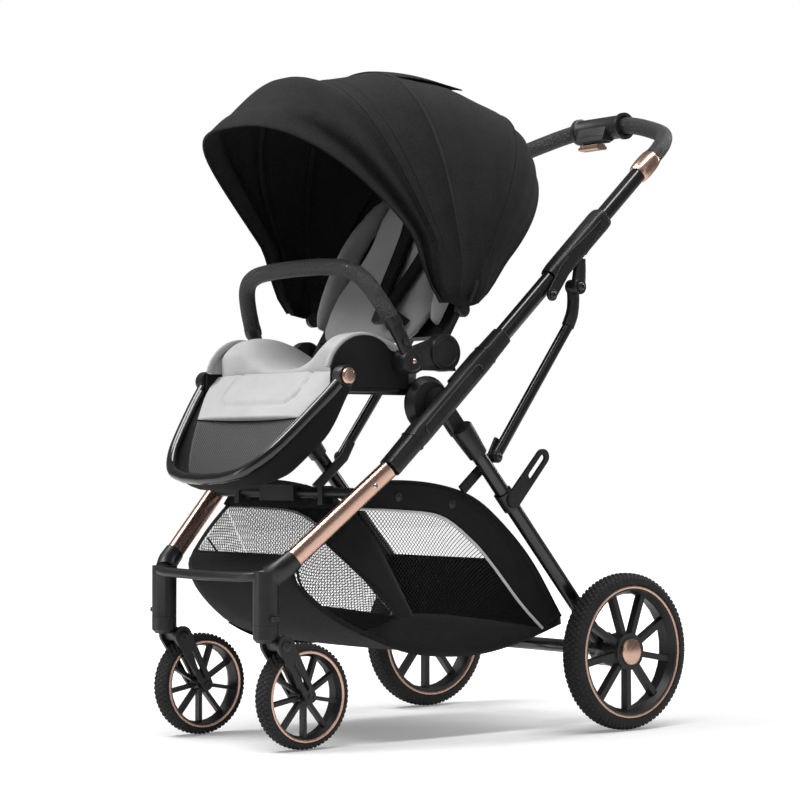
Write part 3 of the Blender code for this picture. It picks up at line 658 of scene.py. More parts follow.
# ---- tubes, grips and bars with a finer surface -------------------------------------------------
def gold_tubes():
    """The rose gold lower tubes, with a screw near their upper ends."""
    for side, sign in SIDES:
        start, end = FRONT_FOOT, rail(0)
        step = (end - start).normalized()
        path = [flip(start + f * (end - start) + 0.0004 * step, sign)
                for f in (0, 0.25, 0.5, 0.75, 0.99)]
        tube = sweep(f"gold_tube_{side}", path, (0.0115, 0.0150), ROSE_GOLD, "chassis",
                     sides=40, power=2.3)
        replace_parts(tube, f"front_tube_{side}")
        spot = start + 0.80 * (end - start) + 0.0113 * X_AXIS
        screw("gold_tube_screw_" + side, flip(spot, sign), sign * X_AXIS, 0.0042, "chassis")


def on_shell(s, off, half_a, half_b):
    """A point on the outer face of a housing round the rail, off above the rail's axis."""
    x = half_a * (1 - abs(off / half_b) ** 3.5) ** (1 / 3.5)
    return rail(s, off, SIDE_X + x)


def push_tubes():
    """The enamelled push tubes, and the lines pressed into the housings round the rail."""
    for side, sign in SIDES:
        path = [flip(rail(s), sign) for s in (0.3113, 0.35, 0.40, 0.4525)]
        tube = sweep(f"push_tube_{side}_finish", path, (0.0120, 0.0140), ENAMEL, "chassis",
                     sides=44)
        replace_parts(tube, f"push_tube_{side}")
        slot = [(end + 0.0085 * math.cos(a), 0.0085 * math.sin(a))
                for end, first in ((0.092, 90), (0.226, 270))
                for a in (math.radians(first + 15 * i) for i in range(13))]
        ring = [flip(on_shell(s, off, 0.0165, 0.0180), sign) for s, off in slot + slot[:2]]
        cordlike(f"hub_slot_{side}", ring, 0.0015, PLASTIC, "chassis")
        ridge = smooth([flip(on_shell(s, off, 0.0162, 0.0178), sign) for s, off in
                        ((0.466, 0.0128), (0.505, 0.0120), (0.550, 0.0080), (0.592, 0.0062))], 5)
        fold = [flip(on_shell(s, off, 0.0163, 0.0179), sign) for s, off in
                ((0.592, 0.0062), (0.586, -0.0030), (0.560, -0.0095), (0.530, -0.0150))]
        for label, line in (("ridge", ridge), ("fold", fold)):
            cordlike(f"connector_{label}_{side}", line, 0.0012, PLASTIC, "handle")


def connectors():
    """The sleeves at the top of the push tubes, with the branches the stays hang on."""
    stations = ((0.453, 0.0146, 0.0150), (0.456, 0.0153, 0.0160), (0.470, 0.0160, 0.0175),
                (0.600, 0.0165, 0.0180), (0.607, 0.0162, 0.0174), (0.611, 0.0152, 0.0162))
    for side, sign in SIDES:
        body = body_of(f"upper_connector_{side}")
        rings = [[flip(rail(s) + u * X_AXIS + v * RAIL_NORMAL, sign)
                  for u, v in section(a, b, 44, 3.5)] for s, a, b in stations]
        rings += [[flip(rail(s) + u * X_AXIS + v * RAIL_NORMAL, sign)
                   for u, v in section(0.0139, 0.0144, 44, 2.0)] for s in (0.611, 0.458)]
        sleeve = solid(f"connector_sleeve_{side}", rings, PLASTIC, body, 30, True)
        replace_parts(sleeve, f"upper_connector_{side}")
        branch = smooth([at(p, sign * BRANCH_X)
                         for p in ((0.2040, 0.7655), (0.2030, 0.748), ELBOW)], 6)
        sizes = [(0.0060, 0.0098 + 0.0030 * ease(i / (len(branch) - 1)))
                 for i in range(len(branch))]
        sweep(f"connector_branch_{side}", branch, sizes, PLASTIC, body, sides=32, power=3.6)
        knob = [(-0.0060, 0), (-0.0060, 0.0130), (0.0052, 0.0130), (0.0060, 0.0122), (0.0060, 0)]
        turned(f"connector_knob_{side}", knob, at(ELBOW, sign * BRANCH_X), PLASTIC, body,
               axis=sign * X_AXIS)
        ear = [flip(rail(s, off, EAR_X), sign) for s, off in ((0.497, 0.0), (0.476, -0.002))]
        sweep(f"connector_ear_{side}", ear + [at(KNUCKLE, sign * EAR_X)],
              [(0.0016, 0.0095), (0.0018, 0.0112), (0.0018, 0.0098)], PLASTIC, body, sides=28,
              power=5)
        rivet = [(-0.0018, 0), (-0.0018, 0.0098), (0.0020, 0.0098), (0.0025, 0.0090), (0.0025, 0)]
        turned(f"connector_rivet_{side}", rivet, at(KNUCKLE, sign * EAR_X), PLASTIC, body, 40,
               axis=sign * X_AXIS)


def rear_legs():
    """Round leg tubes with tapered sockets at the hub and the brackets the stays stand on."""
    inner, outer = 0.1895, 0.2046
    middle, half = (inner + outer) / 2, (outer - inner) / 2
    length = (Vector(REAR_AXLE) - Vector(HUB)).length
    for side, sign in SIDES:
        body = body_of(f"rear_leg_{side}")
        path = [flip(leg(d), sign) for d in (0.080, 0.20, 0.35, length - 0.0275)]
        tube = sweep(f"rear_leg_tube_{side}", path, (0.0120, 0.0120), ENAMEL, body, sides=40)
        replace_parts(tube, f"rear_leg_{side}")
        head = [(-half, 0), (-half, 0.0246), (half, 0.0246), (half, 0)]
        turned(f"rear_leg_head_{side}", head, at(HUB, sign * middle), PLASTIC, body)
        neck = [flip(leg(d, middle), sign) for d in (0.006, 0.030, 0.056)]
        sweep(f"rear_leg_neck_{side}", neck, (half, 0.0155), PLASTIC, body, sides=32, power=5)
        stations = ((0.0505, 0.0160, 0.0168), (0.053, 0.0165, 0.0180), (0.070, 0.0160, 0.0172),
                    (0.098, 0.0147, 0.0150), (0.106, 0.0143, 0.0145), (0.1065, 0.0136, 0.0138))
        sweep(f"rear_leg_socket_{side}", [flip(leg(d), sign) for d, _, _ in stations],
              [(a, b) for _, a, b in stations], PLASTIC, body, sides=40, power=2.5)
        bracket = [at(p, sign * 0.1896) for p in ((0.047, 0.470), STAY_FOOT, (-0.030, 0.390))]
        sweep(f"stay_bracket_{side}", bracket, (0.0032, 0.0085), PLASTIC, body, sides=28, power=5)
        weld = [(-0.0070, 0), (-0.0070, 0.0075), (0.0070, 0.0075), (0.0070, 0)]
        turned(f"stay_bracket_weld_{side}", weld, at((0.0087, 0.4232), sign * 0.1950), PLASTIC,
               body, 32)


def stays():
    """The bent stay bars: a moulded cuff at the top, then an enamelled tube down to the foot."""
    for side, sign in SIDES:
        body = body_of(f"stay_{side}")
        corner = (ELBOW, (0.2015, 0.698), (0.1985, 0.676), (0.189, 0.655))
        bend = smooth([at(p, sign * STAY_X) for p in corner], 6)
        end = at(STAY_FOOT, sign * STAY_X)
        path = [bend[-3]] + [bend[-1].lerp(end, f) for f in (0, 0.35, 0.7, 1)]
        tube = sweep(f"stay_tube_{side}", path, (0.0065, 0.0092), ENAMEL, body, sides=36, power=2.4)
        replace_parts(tube, f"stay_{side}")
        last = len(bend) - 1
        sizes = [(0.0065 + 0.0010 * ease((i - 9) / 5), 0.0112 - 0.0004 * ease(i / last))
                 for i in range(last + 1)]
        sweep(f"stay_cuff_{side}", bend, sizes, PLASTIC, body, sides=36, power=2.8)
        for label, spot, radius in (("top", ELBOW, 0.0120), ("foot", STAY_FOOT, 0.0098)):
            rim = radius - 0.0008
            profile = [(-0.0065, 0), (-0.0065, rim), (-0.0055, radius), (0.0055, radius),
                       (0.0065, rim), (0.0065, 0)]
            turned(f"stay_{label}_{side}", profile, at(spot, sign * STAY_X), PLASTIC, body, 40)


def screw(name, place, axis, radius, body, finish=STEEL):
    """A domed screw head with a recess."""
    profile = [(0, 0), (0, radius), (0.25 * radius, radius), (0.55 * radius, 0.75 * radius),
               (0.68 * radius, 0.42 * radius), (0.45 * radius, 0.36 * radius), (0.45 * radius, 0)]
    return turned(name, profile, place, finish, body, 24, axis=axis)


def handle_parts():
    """Telescopic tubes, caps, the stitched grip, and the hood and neck round its trigger."""
    for side, sign in SIDES:
        path = [flip(rail(s), sign) for s in (0.600, 0.65, 0.70, 0.722)]
        tube = sweep(f"handle_tube_{side}_finish", path, (0.0135, 0.0135), ENAMEL, "push_bar",
                     sides=36)
        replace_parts(tube, f"handle_tube_{side}")
        stations = [(0.7224, 0.0150), (0.7245, 0.0163), (0.730, 0.0174), (0.740, 0.0180),
                    (0.752, 0.0179), (0.762, 0.0172), (0.767, 0.0165), (0.7688, 0.0155)]
        cap = sweep(f"handle_cap_{side}_finish", [flip(rail(s), sign) for s, _ in stations],
                    [(r, r) for _, r in stations], ROSE_GOLD, "push_bar", sides=36, angle=50)
        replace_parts(cap, f"handle_cap_{side}")
    corner = [(0.206, 0.7694), (0.2055, 0.792), (0.200, 0.814), (0.187, 0.833), (0.160, 0.849),
              (0.110, 0.870), (0.068, 0.8838)]
    path = mirrored_path(smooth([rail(s, 0, x) for x, s in corner], 6) + [rail(GRIP_MIDDLE, 0, 0)])
    grip = sweep("handle_grip_leather", path, (GRIP_RADIUS, GRIP_RADIUS), LEATHER, "push_bar",
                 lateral=RAIL_NORMAL, sides=36)
    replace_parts(grip, "handle_grip")
    stitches("handle_grip_stitch", path, GRIP_RADIUS + 0.0001, -RAIL_NORMAL, "push_bar", 0.068)
    middle = rail(GRIP_MIDDLE - 0.001, 0, 0)
    outline = [(middle.y + y, middle.z + z)
               for y, z in ((-0.0180, 0.0060), (-0.0225, -0.0040), (-0.0285, -0.0244),
                            (-0.0040, -0.0249), (0.0070, -0.0175))]
    slab("handle_hood", outline, -0.039, 0.029, PLASTIC, "push_bar", 0.0014)
    neck = middle + Vector((-0.006, -0.018, -0.0316))
    sweep("handle_trigger_neck", [neck - 0.022 * X_AXIS, neck + 0.022 * X_AXIS], (0.0032, 0.0100),
          ROSE_GOLD, "handle_trigger", lateral=Z_AXIS, sides=20, power=4)
    for side, sign in SIDES:
        profile = [(-0.001, 0.0120), (-0.001, 0.0153), (0.0015, 0.0155), (0.0028, 0.0148),
                   (0.0028, 0.0120)]
        turned(f"handle_collar_{side}", profile, flip(rail(0.7702), sign), PLASTIC, "push_bar", 40,
               True, RAIL_DIR)


def stitches(name, path, radius, direction, body, keep_clear=0.0):
    """Short thread stitches along the seam of a wrapped bar."""
    fine = resample(path, 2 * int(sum((b - a).length for a, b in zip(path, path[1:])) / 0.0055))
    points, faces = [], []
    for i in range(2, len(fine) - 3, 2):
        a, b = fine[i], fine[i + 1]
        if abs(a.x) < keep_clear:
            continue
        tangent = (b - a).normalized()
        out = (direction - direction.dot(tangent) * tangent).normalized()
        side = tangent.cross(out)
        base = len(points)
        for point in (a, a.lerp(b, 0.5), b):
            lift = radius + (0.0005 if point is not a and point is not b else 0.0)
            for dx, dz in ((-0.0005, -0.0008), (0.0005, -0.0008), (0.0005, 0.0001),
                           (-0.0005, 0.0001)):
                points.append(point + side * dx + out * (lift + dz))
        for r in (0, 4):
            faces += [(base + r + j, base + r + (j + 1) % 4, base + r + 4 + (j + 1) % 4,
                       base + r + 4 + j) for j in range(4)]
        faces += [(base + 3, base + 2, base + 1, base), (base + 8, base + 9, base + 10, base + 11)]
    obj = outward(new_object(name, points, faces))
    return finish_piece(obj, BLACK_CLOTH, body, 60)


def bumper_parts():
    """The stitched bar, with its moulded arms, cuffs and hubs."""
    corner = [(0.1912, 0.0), (0.187, 0.050), (0.171, 0.108), (0.150, 0.145), (0.116, 0.163),
              (0.060, 0.169)]
    full = smooth([bumper(x, t) for x, t in corner], 6) + [bumper(0, 0.170)]
    normal = bumper(0, 0, 1) - bumper(0, 0, 0)
    split = next(i for i, p in enumerate(full) if (p - full[0]).length > 0.070)
    path = mirrored_path(full[split:])
    bar = sweep("bumper_leather", path, (BUMPER_RADIUS, 0.0133), LEATHER, "bumper",
                lateral=normal, sides=36)
    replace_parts(bar, "bumper_bar")
    stitches("bumper_stitch", path, 0.0134, bumper(0, 0) - bumper(0, 1), "bumper")
    for side, sign in SIDES:
        arm = [flip(p, sign) for p in full[:split + 1]]
        widths = [(0.0112 + 0.0012 * ease(i / 6), 0.0062 + 0.0058 * ease((i - 4) / 8))
                  for i in range(len(arm))]
        sweep(f"bumper_arm_{side}", arm, widths, PLASTIC, "bumper",
              lateral=normal, sides=32, power=2.8)
        sweep(f"bumper_cuff_{side}", [arm[-1] + f * (arm[-1] - arm[-2]) for f in (-0.9, -0.3, 0.5)],
              [(0.0136, 0.0131), (0.0142, 0.0139), (0.0140, 0.0137)], PLASTIC, "bumper",
              lateral=normal, sides=36)
        hub = at(BUMPER_PIVOT, sign * 0.191)
        profile = [(-0.0066, 0), (-0.0066, 0.0185), (-0.0056, 0.0195), (0.0056, 0.0195),
                   (0.0066, 0.0188), (0.0066, 0.0150), (0.0058, 0.0142), (0.0058, 0.0072),
                   (0.0072, 0.0066), (0.0076, 0)]
        turned(f"bumper_hub_{side}", profile, hub, PLASTIC, "bumper", 48,
               axis=sign * X_AXIS)
        screw(f"bumper_screw_{side}", hub + sign * 0.0076 * X_AXIS, sign * X_AXIS, 0.0040, "bumper",
              ROSE_GOLD)
        button = flip(bumper(0.191, 0.034), sign) + sign * 0.0058 * X_AXIS
        dome = [(0, 0), (0, 0.0062), (0.0016, 0.0060), (0.0022, 0.0048), (0.0022, 0)]
        turned(f"bumper_button_{side}", dome, button, PLASTIC, "bumper", 32, axis=sign * X_AXIS)


# ---- wheels ---------------------------------------------------------------------------------
def tyre_profile(wheel, count):
    """(along, radius) points across the tread, from one bead to the other."""
    half, bead, radius = wheel["half_width"], wheel["bead"], wheel["radius"]
    points = []
    for i in range(count):
        a = math.pi * (i / (count - 1) - 0.5)
        across = half * math.copysign(abs(math.sin(a)) ** 0.72, math.sin(a))
        points.append((across, bead + (radius - bead) * abs(math.cos(a)) ** 0.62))
    return points


def lug(u, v, pitch):
    """Height, 0 to 1, of a diamond lug at (u, v) metres on the tread."""
    a = (u + 0.62 * v) / pitch
    b = (u - 0.62 * v) / pitch
    edge = min(abs(a - round(a)), abs(b - round(b)))
    return ease((edge - 0.10) / 0.10)


def tyre(name, wheel, sign, body):
    """A tyre with rows of diamond lugs cut into its tread."""
    across, depth = 46, 0.0024
    profile = tyre_profile(wheel, across)
    lugs = round(2 * math.pi * wheel["radius"] / wheel["pitch"])
    around = lugs * 7
    pitch = 2 * math.pi * wheel["radius"] / lugs
    centre = Vector((sign * wheel["x"], wheel["y"], wheel["radius"]))
    lengths = [0.0]
    for (x0, r0), (x1, r1) in zip(profile, profile[1:]):
        lengths.append(lengths[-1] + math.hypot(x1 - x0, r1 - r0))
    middle = lengths[-1] / 2
    points = []
    for i in range(around):
        a = 2 * math.pi * i / around
        c, s = math.cos(a), math.sin(a)
        for j, (x, r) in enumerate(profile):
            tread = ease((middle - 0.0035 - abs(lengths[j] - middle)) / 0.004)
            height = lug(a * wheel["radius"], lengths[j] - middle, pitch)
            radius = r - depth * tread * (1 - height)
            points.append(centre + Vector((x, radius * c, radius * s)))
    faces = []
    for i in range(around):
        k = (i + 1) % around
        faces += [(i * across + j, i * across + j + 1, k * across + j + 1, k * across + j)
                  for j in range(across - 1)]
        faces.append((i * across + across - 1, i * across, k * across, k * across + across - 1))
    obj = outward(new_object(name, points, faces))
    return finish_piece(obj, RUBBER, body, 60)


def wheel_trims(kind, wheel, side, sign, body):
    """The rose gold line on each face of the rim."""
    outer = wheel["bead"] - 0.0006
    for face in (1, -1):
        centre = Vector((sign * wheel["x"] + face * wheel["face"], wheel["y"], wheel["radius"]))
        profile = [(-0.0010, outer - 0.0052), (0.0007, outer - 0.0050), (0.0014, outer - 0.0030),
                   (0.0010, outer - 0.0008), (-0.0010, outer - 0.0004)]
        label = "out" if face == sign else "in"
        turned(f"{kind}_rim_line_{side}_{label}", profile, centre, ROSE_GOLD, body, 96, True,
               face * X_AXIS)


def wheels():
    """Treads and rim lines of the four wheels, and the bolt heads on the forks."""
    fork_heads = (("bolt", (-0.350, 0.160), 0.0085),
                  ("axle", (FRONT_WHEEL["y"], FRONT_WHEEL["radius"]), 0.0060))
    for side, sign in SIDES:
        for kind, wheel in (("rear", REAR_WHEEL), ("front", FRONT_WHEEL)):
            body = body_of(f"{kind}_tyre_{side}")
            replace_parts(tyre(f"{kind}_tread_{side}", wheel, sign, body), f"{kind}_tyre_{side}")
            wheel_trims(kind, wheel, side, sign, body)
        fork = body_of(f"front_fork_{side}")
        for face in (1, -1):
            for label, place, radius in fork_heads:
                spot = at(place, sign * FRONT_WHEEL["x"] + face * 0.0240)
                head = "out" if face == sign else "in"
                profile = [(0, 0), (0, radius), (0.0012, radius), (0.0022, 0.8 * radius),
                           (0.0022, 0.45 * radius), (0.0012, 0.38 * radius), (0.0012, 0)]
                turned(f"fork_{label}_{side}_{head}", profile, spot, PLASTIC, fork, 32,
                       axis=face * X_AXIS)


# ---- canopy ---------------------------------------------------------------------------------
FOOT_MIDDLE = Vector((-0.004, 0.001))
FOOT_FRONT = (131.2, Vector((-0.0495, 0.0094)))
FOOT_REAR = (37.0, Vector((0.0375, 0.0115)))


def hoop(side, top, half_width, height, power):
    """A bow about the canopy pivot: side and top are its lean there, in degrees.

    The bows fan out near the pivot and end on the canopy's lower edge.
    """
    points, count = [], 73
    lean, corner = FOOT_FRONT if side > 90 else FOOT_REAR
    share = (90 - side) / (90 - lean)
    foot = FOOT_MIDDLE.lerp(corner, share)
    foot_angle = math.degrees(math.atan2(foot.y, foot.x))
    end = foot.length / height
    limit = math.acos(end ** (power / 2))
    for i in range(count):
        a = limit * (1 - 2 * i / (count - 1))
        x = half_width * math.copysign(abs(math.sin(a)) ** (2 / power), math.sin(a))
        rise = math.cos(a) ** (2 / power)
        lean = side + (top - side) * rise ** 2
        near = max(0.0, 1 - (rise - end) / (0.09 + 0.19 * share))
        angle = math.radians(lean + (foot_angle - lean) * near ** 2)
        points.append(inclined(CANOPY_PIVOT, angle, x, rise * height))
    return points


def canopy_rows(stations, sag):
    """Bows interpolated between stations of (side, top, half width, height, power)."""
    rows, steps = [], 6
    curve = smooth([Vector(s[:3]) for s in stations], steps)
    other = smooth([Vector((s[3], s[4], 0)) for s in stations], steps)
    for i, (a, b) in enumerate(zip(curve, other)):
        f = (i % steps) / steps
        dip = 1.0 - sag * math.sin(math.pi * f) ** 2
        rows.append(hoop(a.x, a.y, a.z * (1 + dip) / 2, b.x * dip, b.y))
    return rows


REAR_STATIONS = [(61.3, 61.3, 0.2000, 0.3890, 2.8), (52, 56, 0.1975, 0.3865, 2.9),
                 (44, 51.5, 0.1930, 0.375, 2.9), (37, 48.5, 0.1870, 0.361, 2.9)]
MIDDLE_STATIONS = [(61.0, 61.0, 0.2022, 0.3915, 2.8), (79, 79, 0.2005, 0.3850, 2.7),
                   (98.4, 98.4, 0.2040, 0.3895, 2.6)]
FRONT_STATIONS = [(96.6, 96.6, 0.2062, 0.3922, 2.6), (106, 104, 0.2050, 0.3895, 2.6),
                  (115, 111, 0.2062, 0.3940, 2.6), (120, 115, 0.2068, 0.4000, 2.6),
                  (122.2, 120.2, 0.2032, 0.4224, 2.40), (123.9, 129.5, 0.1996, 0.4132, 2.84),
                  (125.1, 133.7, 0.1890, 0.4190, 2.68), (131.2, 138.0, 0.2000, 0.4189, 2.76)]


def narrows_at_recline(cover):
    """Gives the piece its own copy of its mesh."""
    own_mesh(cover)


def canopy():
    panels = (("rear", REAR_STATIONS, "backrest", 0.006),
              ("middle", MIDDLE_STATIONS, "canopy_middle", 0.008),
              ("front", FRONT_STATIONS, "canopy_front", 0.0))
    for name, stations, body, sag in panels:
        rows = canopy_rows(stations, sag)
        trims = [cordlike(f"canopy_{name}_{label}", row, radius, BLACK_CLOTH, body)
                 for label, row, radius in canopy_trims(name, rows)]
        cover = panel(f"canopy_{name}_cloth", rows, CANOPY_CLOTH, body, 0.0012)
        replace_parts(cover, f"canopy_{name}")
        for item in [cover] + trims:
            narrows_at_recline(item)
    vent_flap()
    for side, sign in SIDES:
        profile = [(0, 0), (0, 0.0130), (0.0080, 0.0130), (0.0100, 0.0104), (0.0100, 0)]
        turned(f"canopy_pivot_{side}", profile, at(CANOPY_PIVOT, sign * 0.1890), PLASTIC,
               "backrest", 32, axis=sign * X_AXIS)
        pull = [inclined(CANOPY_PIVOT, math.radians(64), sign * x, t) for x, t in
                ((0.2052, 0.050), (0.2066, 0.042), (0.2070, 0.026), (0.2066, 0.012))]
        tab = sweep(f"canopy_zip_pull_{side}", smooth(pull, 4), (0.0007, 0.0030), PLASTIC,
                    "backrest", sides=16, power=4)
        narrows_at_recline(tab)


def raised(row, amount):
    """The bow row moved away from the canopy pivot by amount."""
    centre = Vector((0, CANOPY_PIVOT[0], CANOPY_PIVOT[1]))
    return [p + (p - centre).normalized() * amount for p in row]


def canopy_trims(name, rows):
    """(label, path, radius) of the seams, bindings and inner rods of a panel."""
    inner = slice(3, -3)
    if name == "rear":
        return [("edge_binding", rows[-1], 0.0018),
                ("seam", raised(rows[0], 0.0002)[inner], 0.0016)]
    if name == "middle":
        return [("edge_seam", raised(rows[0], 0.0004)[inner], 0.0015),
                ("bow_rod", raised(rows[-2], -0.0050)[inner], 0.0035)]
    return [("bow_seam", raised(rows[1], 0.0003)[inner], 0.0012),
            ("visor_seam", raised(rows[12], 0.0002)[inner], 0.0011),
            ("visor_seam_two", raised(rows[18], 0.0003)[inner], 0.0013),
            ("visor_rod", raised(rows[18], -0.0050)[inner], 0.0035),
            ("edge_binding", rows[-1], 0.0020)]


def vent_flap():
    """A loose flap over the vent behind the main bow."""
    rows = []
    for i in range(13):
        f = i / 12
        angle = math.radians(97.5 - 24.0 * f)
        height = 0.3945 + 0.0015 * f
        row = []
        for j in range(17):
            x = 0.072 * (j / 8 - 1) * (1 - 0.10 * f ** 3)
            drop = 1 - 0.42 * abs(x / 0.204) ** 2.6
            edge = (x / 0.072) ** 2
            tuck = (0.0040 + 0.0030 * f) * (1 - f ** 4) * edge
            row.append(inclined(CANOPY_PIVOT, angle, x,
                                height * drop - 0.003 * f * (1 - edge) - tuck))
        rows.append(row)
    flap = grid("canopy_vent_flap", rows, CANOPY_CLOTH, "canopy_middle", 0.0016)
    edge = [row[0] for row in rows] + rows[-1][1:-1] + [row[-1] for row in reversed(rows)]
    hem = cordlike("canopy_vent_hem", edge, 0.0012, BLACK_CLOTH, "canopy_middle")
    cloth()


# ---- basket ---------------------------------------------------------------------------------
def basket_width(y):
    return 0.1836 * (1.0 - 0.235 * min(1.0, max(0.0, (-0.190 - y) / 0.128)))


BASKET_PROFILE = [(-0.312, 0.292), (-0.322, 0.272), (-0.310, 0.243), (-0.271, 0.206),
                  (-0.215, 0.172), (-0.148, 0.150), (-0.095, 0.141), (-0.030, 0.138),
                  (0.040, 0.140), (0.100, 0.149), (0.150, 0.160), (0.184, 0.174)]
BAND_OUTER = [(-0.231, 0.366), (-0.205, 0.392), (-0.181, 0.405), (-0.090, 0.401), (-0.008, 0.381),
              (0.055, 0.340), (0.122, 0.276), (0.188, 0.184)]
BAND_INNER = [(-0.226, 0.363), (-0.151, 0.359), (-0.070, 0.349), (-0.008, 0.312), (0.038, 0.271),
              (0.098, 0.208), (0.146, 0.166)]
MESH_LIP = [(-0.130, 0.196), (-0.090, 0.198), (0.012, 0.186), (0.080, 0.176), (0.140, 0.166)]
STRIP_TOP = [(-0.170, 0.190), (-0.150, 0.199), (-0.090, 0.199), (0.012, 0.187), (0.080, 0.177),
             (0.145, 0.168), (0.187, 0.183)]
SIDE_FOOT = [(-0.222, 0.172), (-0.148, 0.143), (-0.067, 0.131), (0.016, 0.131), (0.102, 0.146),
             (0.188, 0.171)]
GUSSET_BACK = [(-0.274, 0.312), (-0.216, 0.257), (-0.155, 0.196)]
GUSSET_FRONT = [(-0.318, 0.282), (-0.310, 0.246), (-0.272, 0.209), (-0.222, 0.178), (-0.180, 0.160)]
SASH_BACK = [(-0.230, 0.362), (-0.175, 0.280), (-0.117, 0.185)]


def between(low, high, steps, bulge=0.0):
    """Rows from one side curve to another, blown outwards by bulge in the middle."""
    rows = []
    for i in range(steps + 1):
        f = i / steps
        row = []
        for j, (a, b) in enumerate(zip(low, high)):
            e = j / (len(low) - 1)
            push = bulge * math.sin(math.pi * f) * math.sin(math.pi * e)
            row.append(a.lerp(b, f) + push * X_AXIS)
        rows.append(row)
    return rows


def basket_side(side, sign):
    """Netting, bands, gusset and piping of one side."""
    def on(rows):
        return rows if sign > 0 else mirror_rows(rows)
    count = 41
    outer = side_curve(BAND_OUTER, basket_width, count)
    inner = side_curve(BAND_INNER, basket_width, count)
    lip = side_curve(MESH_LIP, basket_width, count)
    foot = side_curve(SIDE_FOOT, basket_width, count)
    line = on([[p + 0.0012 * X_AXIS for p in inner]])[0][:count - (0 if sign > 0 else 2)]
    piping = cordlike(f"basket_piping_{side}", line, 0.0024, PIPING, "chassis")
    back = side_curve(GUSSET_BACK, basket_width, 17)
    front = side_curve(GUSSET_FRONT, basket_width, 17)
    rise = side_curve(SASH_BACK, basket_width, 17)

    def trim(label, curve, lift, radius):
        path = on([[p + lift * X_AXIS for p in curve]])[0]
        return cordlike(f"basket_{label}_{side}", path, radius, BLACK_CLOTH, "chassis")

    def side_panel(label, rows, finish, thickness=0.0, trims=()):
        panel(f"basket_{label}_{side}", on(rows), finish, "chassis", thickness)

    side_panel("band", between(inner, outer, 6, 0.0015), BLACK_CLOTH, 0.0016,
               [piping, trim("hem", outer, 0.0006, 0.0016)])
    side_panel("net", between(lip, inner, 12, 0.0040), NETTING)
    side_panel("strip", between(foot, side_curve(STRIP_TOP, basket_width, count), 5, 0.0035),
               BLACK_CLOTH, 0.0012)
    side_panel("gusset", between(front, back, 8, 0.0030), NETTING)
    seams = [trim("sash_seam", back, 0.0010, 0.0016), trim("gusset_seam", front, 0.0010, 0.0020)]
    finish, thickness = (BLACK_CLOTH, 0.0016) if sign > 0 else (NETTING, 0.0)
    side_panel("sash", between(back, rise, 5, 0.0020), finish, thickness, seams)
    for k, (y, z) in enumerate(((-0.155, 0.381), (-0.047, 0.369))):
        snap_profile = [(0, 0), (0, 0.0072), (0.0012, 0.0070), (0.0016, 0.0052), (0.0010, 0.0045),
                        (0.0016, 0.0030), (0.0018, 0)]
        turned(f"basket_snap_{side}_{k}", snap_profile,
               at((y, z), sign * (basket_width(y) + 0.0016)), PLASTIC, "chassis", 28,
               axis=sign * X_AXIS)


def basket_body():
    """The opaque bag: front roll, sagging bottom and the back that slopes up to the opening."""
    profile = smooth([Vector((0, y, z)) for y, z in BASKET_PROFILE], 3)
    back = ((0.172, 0.190), (0.155, 0.216), (0.138, 0.247), (0.122, 0.274))
    profile += [Vector((0, y, z)) for y, z in back]
    rows = []
    for i, p in enumerate(profile):
        f = i / (len(profile) - 1)
        normal = (profile[min(i + 1, len(profile) - 1)] - profile[max(i - 1, 0)]).normalized()
        out = Vector((0, normal.z, -normal.y))
        half = basket_width(p.y)
        row = []
        for j in range(25):
            s = j / 12 - 1
            belly = 0.003 * math.sin(math.pi * f) * (1 - abs(s) ** 2.4)
            row.append(Vector((half * s, p.y, p.z)) + belly * out)
        rows.append(row)
    bag = grid("basket_bag", rows, BLACK_CLOTH, "chassis", 0.0014)
    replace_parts(bag, "basket")
    lip = cordlike("basket_back_hem", rows[-1], 0.0024, BLACK_CLOTH, "chassis")
    cloth()


def basket_front():
    """The see-through front window and the dark cloth around it."""
    top, bottom = (-0.226, 0.364), (-0.312, 0.292)
    rows, frame_rows = [], []
    for i in range(11):
        f = i / 10
        y, z = bottom[0] + f * (top[0] - bottom[0]), bottom[1] + f * (top[1] - bottom[1])
        half = basket_width(y)
        rows.append([Vector(((half - 0.010) * (j / 12 - 1), y - 0.004 * math.sin(math.pi * f), z))
                     for j in range(25)])
        frame_rows.append((half, y, z, f))
    top_edge = [p + Vector((0, 0.002, 0.003)) for p in rows[-1]]
    trims = [cordlike("basket_front_top", top_edge, 0.0050, BLACK_CLOTH, "chassis"),
             cordlike("basket_front_low", rows[0], 0.0022, BLACK_CLOTH, "chassis")]
    panel("basket_front_net", rows, NETTING, "chassis", 0.0)
    for side, sign in SIDES:
        side_rows = []
        for (half, y, z, f), row in zip(frame_rows, rows):
            near = abs(row[0].x)
            side_rows.append([Vector((sign * (near + (half - near) * k / 6),
                                      y - 0.004 * math.sin(math.pi * f), z)) for k in range(7)])
        panel(f"basket_front_wing_{side}", side_rows, BLACK_CLOTH, "chassis", 0.0014)


def basket():
    basket_body()
    basket_front()
    for side, sign in SIDES:
        basket_side(side, sign)


